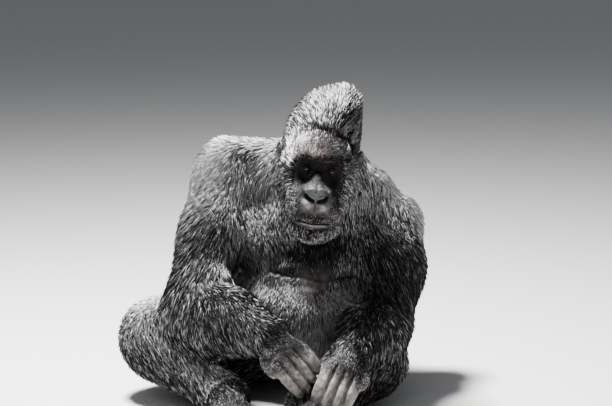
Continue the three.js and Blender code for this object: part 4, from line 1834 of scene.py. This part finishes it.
@dataclass
class Digits:
    """Where the fingers and toes run, from the same steps as the solids.

    A toe has its place across the ball of the foot and its length. A finger has its place across
    the knuckles and its share of the longest finger's length.
    """

    bones: Skeleton
    toe_places: tuple[tuple[float, float], ...] = (
        (-0.040, 0.036),
        (-0.020, 0.044),
        (0.0, 0.048),
        (0.020, 0.048),
    )
    finger_places: tuple[tuple[float, float], ...] = (
        (-0.036, 0.84),
        (-0.012, 1.0),
        (0.012, 1.0),
        (0.036, 0.9),
    )
    finger_bones: Point = (0.046, 0.036, 0.022)
    curls: Point = (0.35, 0.95, 1.45)
    toenails: tuple[float, ...] = (0.0072, 0.0072, 0.0072, 0.0072, 0.0105)
    fingernail: float = 0.0078
    thumbnail: float = 0.0075

    def away(self, side: str) -> Array:
        """The way a foot points, level with the floor."""
        step = self.bones.at(f"ball_{side}") - self.bones.at(f"ankle_{side}")
        return unit(step * np.array([1.0, 1.0, 0.0]))

    def inward(self, side: str) -> Array:
        """The way across a foot to its big toe."""
        away = self.away(side)
        return np.array([-away[1], away[0], 0.0]) * -SIDES[side]

    def over(self, side: str) -> Array:
        """The way out of the back of a hand."""
        away = self.bones.along(f"wrist_{side}", f"knuckles_{side}")
        return square_to(away, np.array([0.1 * SIDES[side], -0.9, 0.4]))

    def thumbward(self, side: str) -> Array:
        """The way across a hand to its thumb."""
        away = self.bones.along(f"wrist_{side}", f"knuckles_{side}")
        return np.cross(self.over(side), away) * SIDES[side]

    def toe_lines(self, side: str) -> list[list[Array]]:
        """The joints of each toe of one foot, root first, the big toe last.

        Args:
            side: right or left.

        Returns:
            A line of places for each toe.
        """
        ankle, ball = self.bones.at(f"ankle_{side}"), self.bones.at(f"ball_{side}")
        away, inward = self.away(side), self.inward(side)

        def spot(start: Array, forward: float, sideways: float, height: float) -> Array:
            """A place reached from another along and across the foot."""
            place = start + away * forward + inward * sideways
            place[2] = height + self.bones.shift[2]
            return place

        lines = []
        for sideways, length in self.toe_places:
            root = spot(ball, -0.008, sideways, 0.026)
            joint = spot(ball, length * 0.6, sideways * 1.06, 0.028)
            lines.append([root, joint, spot(ball, length, sideways * 1.08, 0.016)])
        middle = blend(ankle, ball, 0.45)
        root, joint = spot(middle, 0.0, 0.034, 0.028), spot(middle, 0.040, 0.056, 0.028)
        lines.append([root, joint, spot(middle, 0.076, 0.064, 0.018)])
        return lines

    def finger_lines(self, side: str) -> list[list[Array]]:
        """The joints of each finger of one hand, root first, the thumb last.

        Args:
            side: right or left.

        Returns:
            A line of places for each finger.
        """
        wrist, knuckles = self.bones.at(f"wrist_{side}"), self.bones.at(f"knuckles_{side}")
        away, thumbward, way = unit(knuckles - wrist), self.thumbward(side), SIDES[side]

        def curl(turn: float) -> Array:
            """The pointing direction after bending towards the palm."""
            return np.array(Matrix.Rotation(turn * way, 3, Vector(thumbward)) @ Vector(away))

        lines = []
        steps = [curl(turn) * bone for turn, bone in zip(self.curls, self.finger_bones)]
        for reach, length in self.finger_places:
            first = knuckles + thumbward * reach
            second = first + steps[0] * length + thumbward * reach * 0.06
            third = second + steps[1] * length
            lines.append([first, second, third, third + steps[2] * length])
        root = blend(wrist, knuckles, 0.35) + thumbward * 0.026
        joint = root + thumbward * 0.026 + away * 0.026
        lines.append([root, joint, joint + thumbward * 0.006 + away * 0.034])
        return lines

    def toes(self, side: str) -> list[Digit]:
        """Where the toenails of one foot sit."""
        up, lines = np.array([0.0, 0.0, 1.0]), self.toe_lines(side)
        return [Digit(line[-2], line[-1], up, wide) for line, wide in zip(lines, self.toenails)]

    def fingers(self, side: str) -> list[Digit]:
        """Where the fingernails of one hand sit.

        Args:
            side: right or left.

        Returns:
            The last stretch of each finger and the thumb.
        """
        lines = self.finger_lines(side)
        made = []
        for line in lines[:-1]:
            outer = unit(np.cross(self.thumbward(side), line[-1] - line[-2])) * -SIDES[side]
            made.append(Digit(line[-2], line[-1], outer, self.fingernail))
        made.append(Digit(lines[-1][-2], lines[-1][-1], self.over(side), self.thumbnail))
        return made


# ---------------------------------------------------------------- studio


@dataclass(frozen=True)
class Lamp:
    """One soft square lamp that faces the animal."""

    name: str
    place: Point
    wide: float
    watts: float
    aim: Point = (0.05, 0.0, 0.4)

    def build(self) -> None:
        """Hang the lamp."""
        data = bpy.data.lights.new(self.name, "AREA")
        data.size = self.wide
        data.energy = self.watts
        lamp = add_object(self.name, data)
        lamp.location = self.place
        way = Vector(self.aim) - Vector(self.place)
        lamp.rotation_euler = way.to_track_quat("-Z", "Y").to_euler()


@dataclass
class Studio:
    """The camera, the lamps, the sky's light and the pale floor."""

    shift: Array
    aim: Point = (0.088, 0.0, 0.515)
    distance: float = 5.0
    elevation: float = math.radians(9.0)
    lens: float = 108.94
    sky: Colour = (0.90, 0.93, 1.0, 1.0)
    sky_strength: float = 0.24
    look: str = "AgX - Medium High Contrast"
    floor_size: float = 40.0
    lamps: tuple[Lamp, ...] = (
        Lamp("key_light", (-0.75, -0.15, 3.5), 0.7, 660.0),
        Lamp("front_light", (-1.0, -3.2, 2.2), 2.8, 40.0),
        Lamp("fill_light", (2.8, -2.0, 1.6), 2.4, 6.0),
    )

    def camera(self) -> None:
        """Stand the camera in front of the animal, a little above it."""
        data = bpy.data.cameras.new("camera")
        data.lens = self.lens
        data.sensor_width = 36.0
        data.clip_end = 200.0
        eye = add_object("camera", data)
        away = Vector((0.0, -math.cos(self.elevation), math.sin(self.elevation)))
        eye.location = Vector(self.aim) + Vector(self.shift) + away * self.distance
        eye.rotation_euler = (-away).to_track_quat("-Z", "Y").to_euler()
        bpy.context.scene.camera = eye

    def light(self) -> None:
        """Hang the lamps and set the sky."""
        for lamp in self.lamps:
            lamp.build()
        world = bpy.data.worlds.new("world")
        world.use_nodes = True
        sky = world.node_tree.nodes["Background"].inputs
        sky["Color"].default_value = self.sky
        sky["Strength"].default_value = self.sky_strength
        bpy.context.scene.world = world
        bpy.context.scene.view_settings.look = self.look

    def build(self) -> None:
        """Set up the whole studio."""
        self.camera()
        self.light()
        ground = bmesh.new()
        bmesh.ops.create_grid(ground, x_segments=2, y_segments=2, size=self.floor_size)
        floor = put(ground, "floor")
        floor.data.materials.append(FloorFinish().build())


# ---------------------------------------------------------------- all of it


@dataclass
class Gorilla:
    """The whole animal."""

    bones: Skeleton = field(default_factory=Skeleton)

    def settle(self, piece: bpy.types.Object, material: bpy.types.Material, slot: str) -> None:
        """Dress a piece with its finish and put it on the body.

        Args:
            piece: the piece.
            material: its finish.
            slot: not used.
        """
        piece.data.materials.clear()
        piece.data.materials.append(material)
        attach(piece, "root")
        log.info("%s: %d faces", piece.name, len(piece.data.polygons))

    def build(self) -> None:
        """Make every piece."""
        skin = Skin(self.bones).build()
        coat = Coat(self.bones)
        growth = coat.survey(skin)
        coat.mark(skin, growth)
        self.settle(skin, HideFinish().build(), "bare_hide")
        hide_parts(*[part.value for part in PARTS])
        hair = CoatFinish().build()
        for piece in coat.grow(skin, growth):
            low = any(word in piece.name for word in ("forearm", "shin"))
            slot = "head_hair" if "head" in piece.name else "dark_hair" if low else "silver_hair"
            self.settle(piece, hair, slot)
        eye_finish = EyeFinish().build()
        ear_finish = EarFinish().build()
        nail_finish = NailFinish().build()
        digits = Digits(self.bones)
        for side in SIDES:
            eye = Eye(self.bones, side).build()
            self.settle(eye, eye_finish, "eyeball")
            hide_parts(f"eye_{side}")
            ear = Ear(self.bones, side).build()
            self.settle(ear, ear_finish, "bare_hide")
            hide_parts(f"ear_{side}")
            fingers = Nails(f"nails_hand_{side}", digits.fingers(side)).build()
            self.settle(fingers, nail_finish, "bare_hide")
            toes = Nails(f"nails_foot_{side}", digits.toes(side)).build()
            self.settle(toes, nail_finish, "bare_hide")


def main() -> None:
    """Build the studio and the animal."""
    logging.basicConfig(level=logging.INFO, format="%(relativeCreated)d %(message)s")
    gorilla = Gorilla()
    Studio(gorilla.bones.shift).build()
    gorilla.build()


if __name__ == "__main__":
    main()
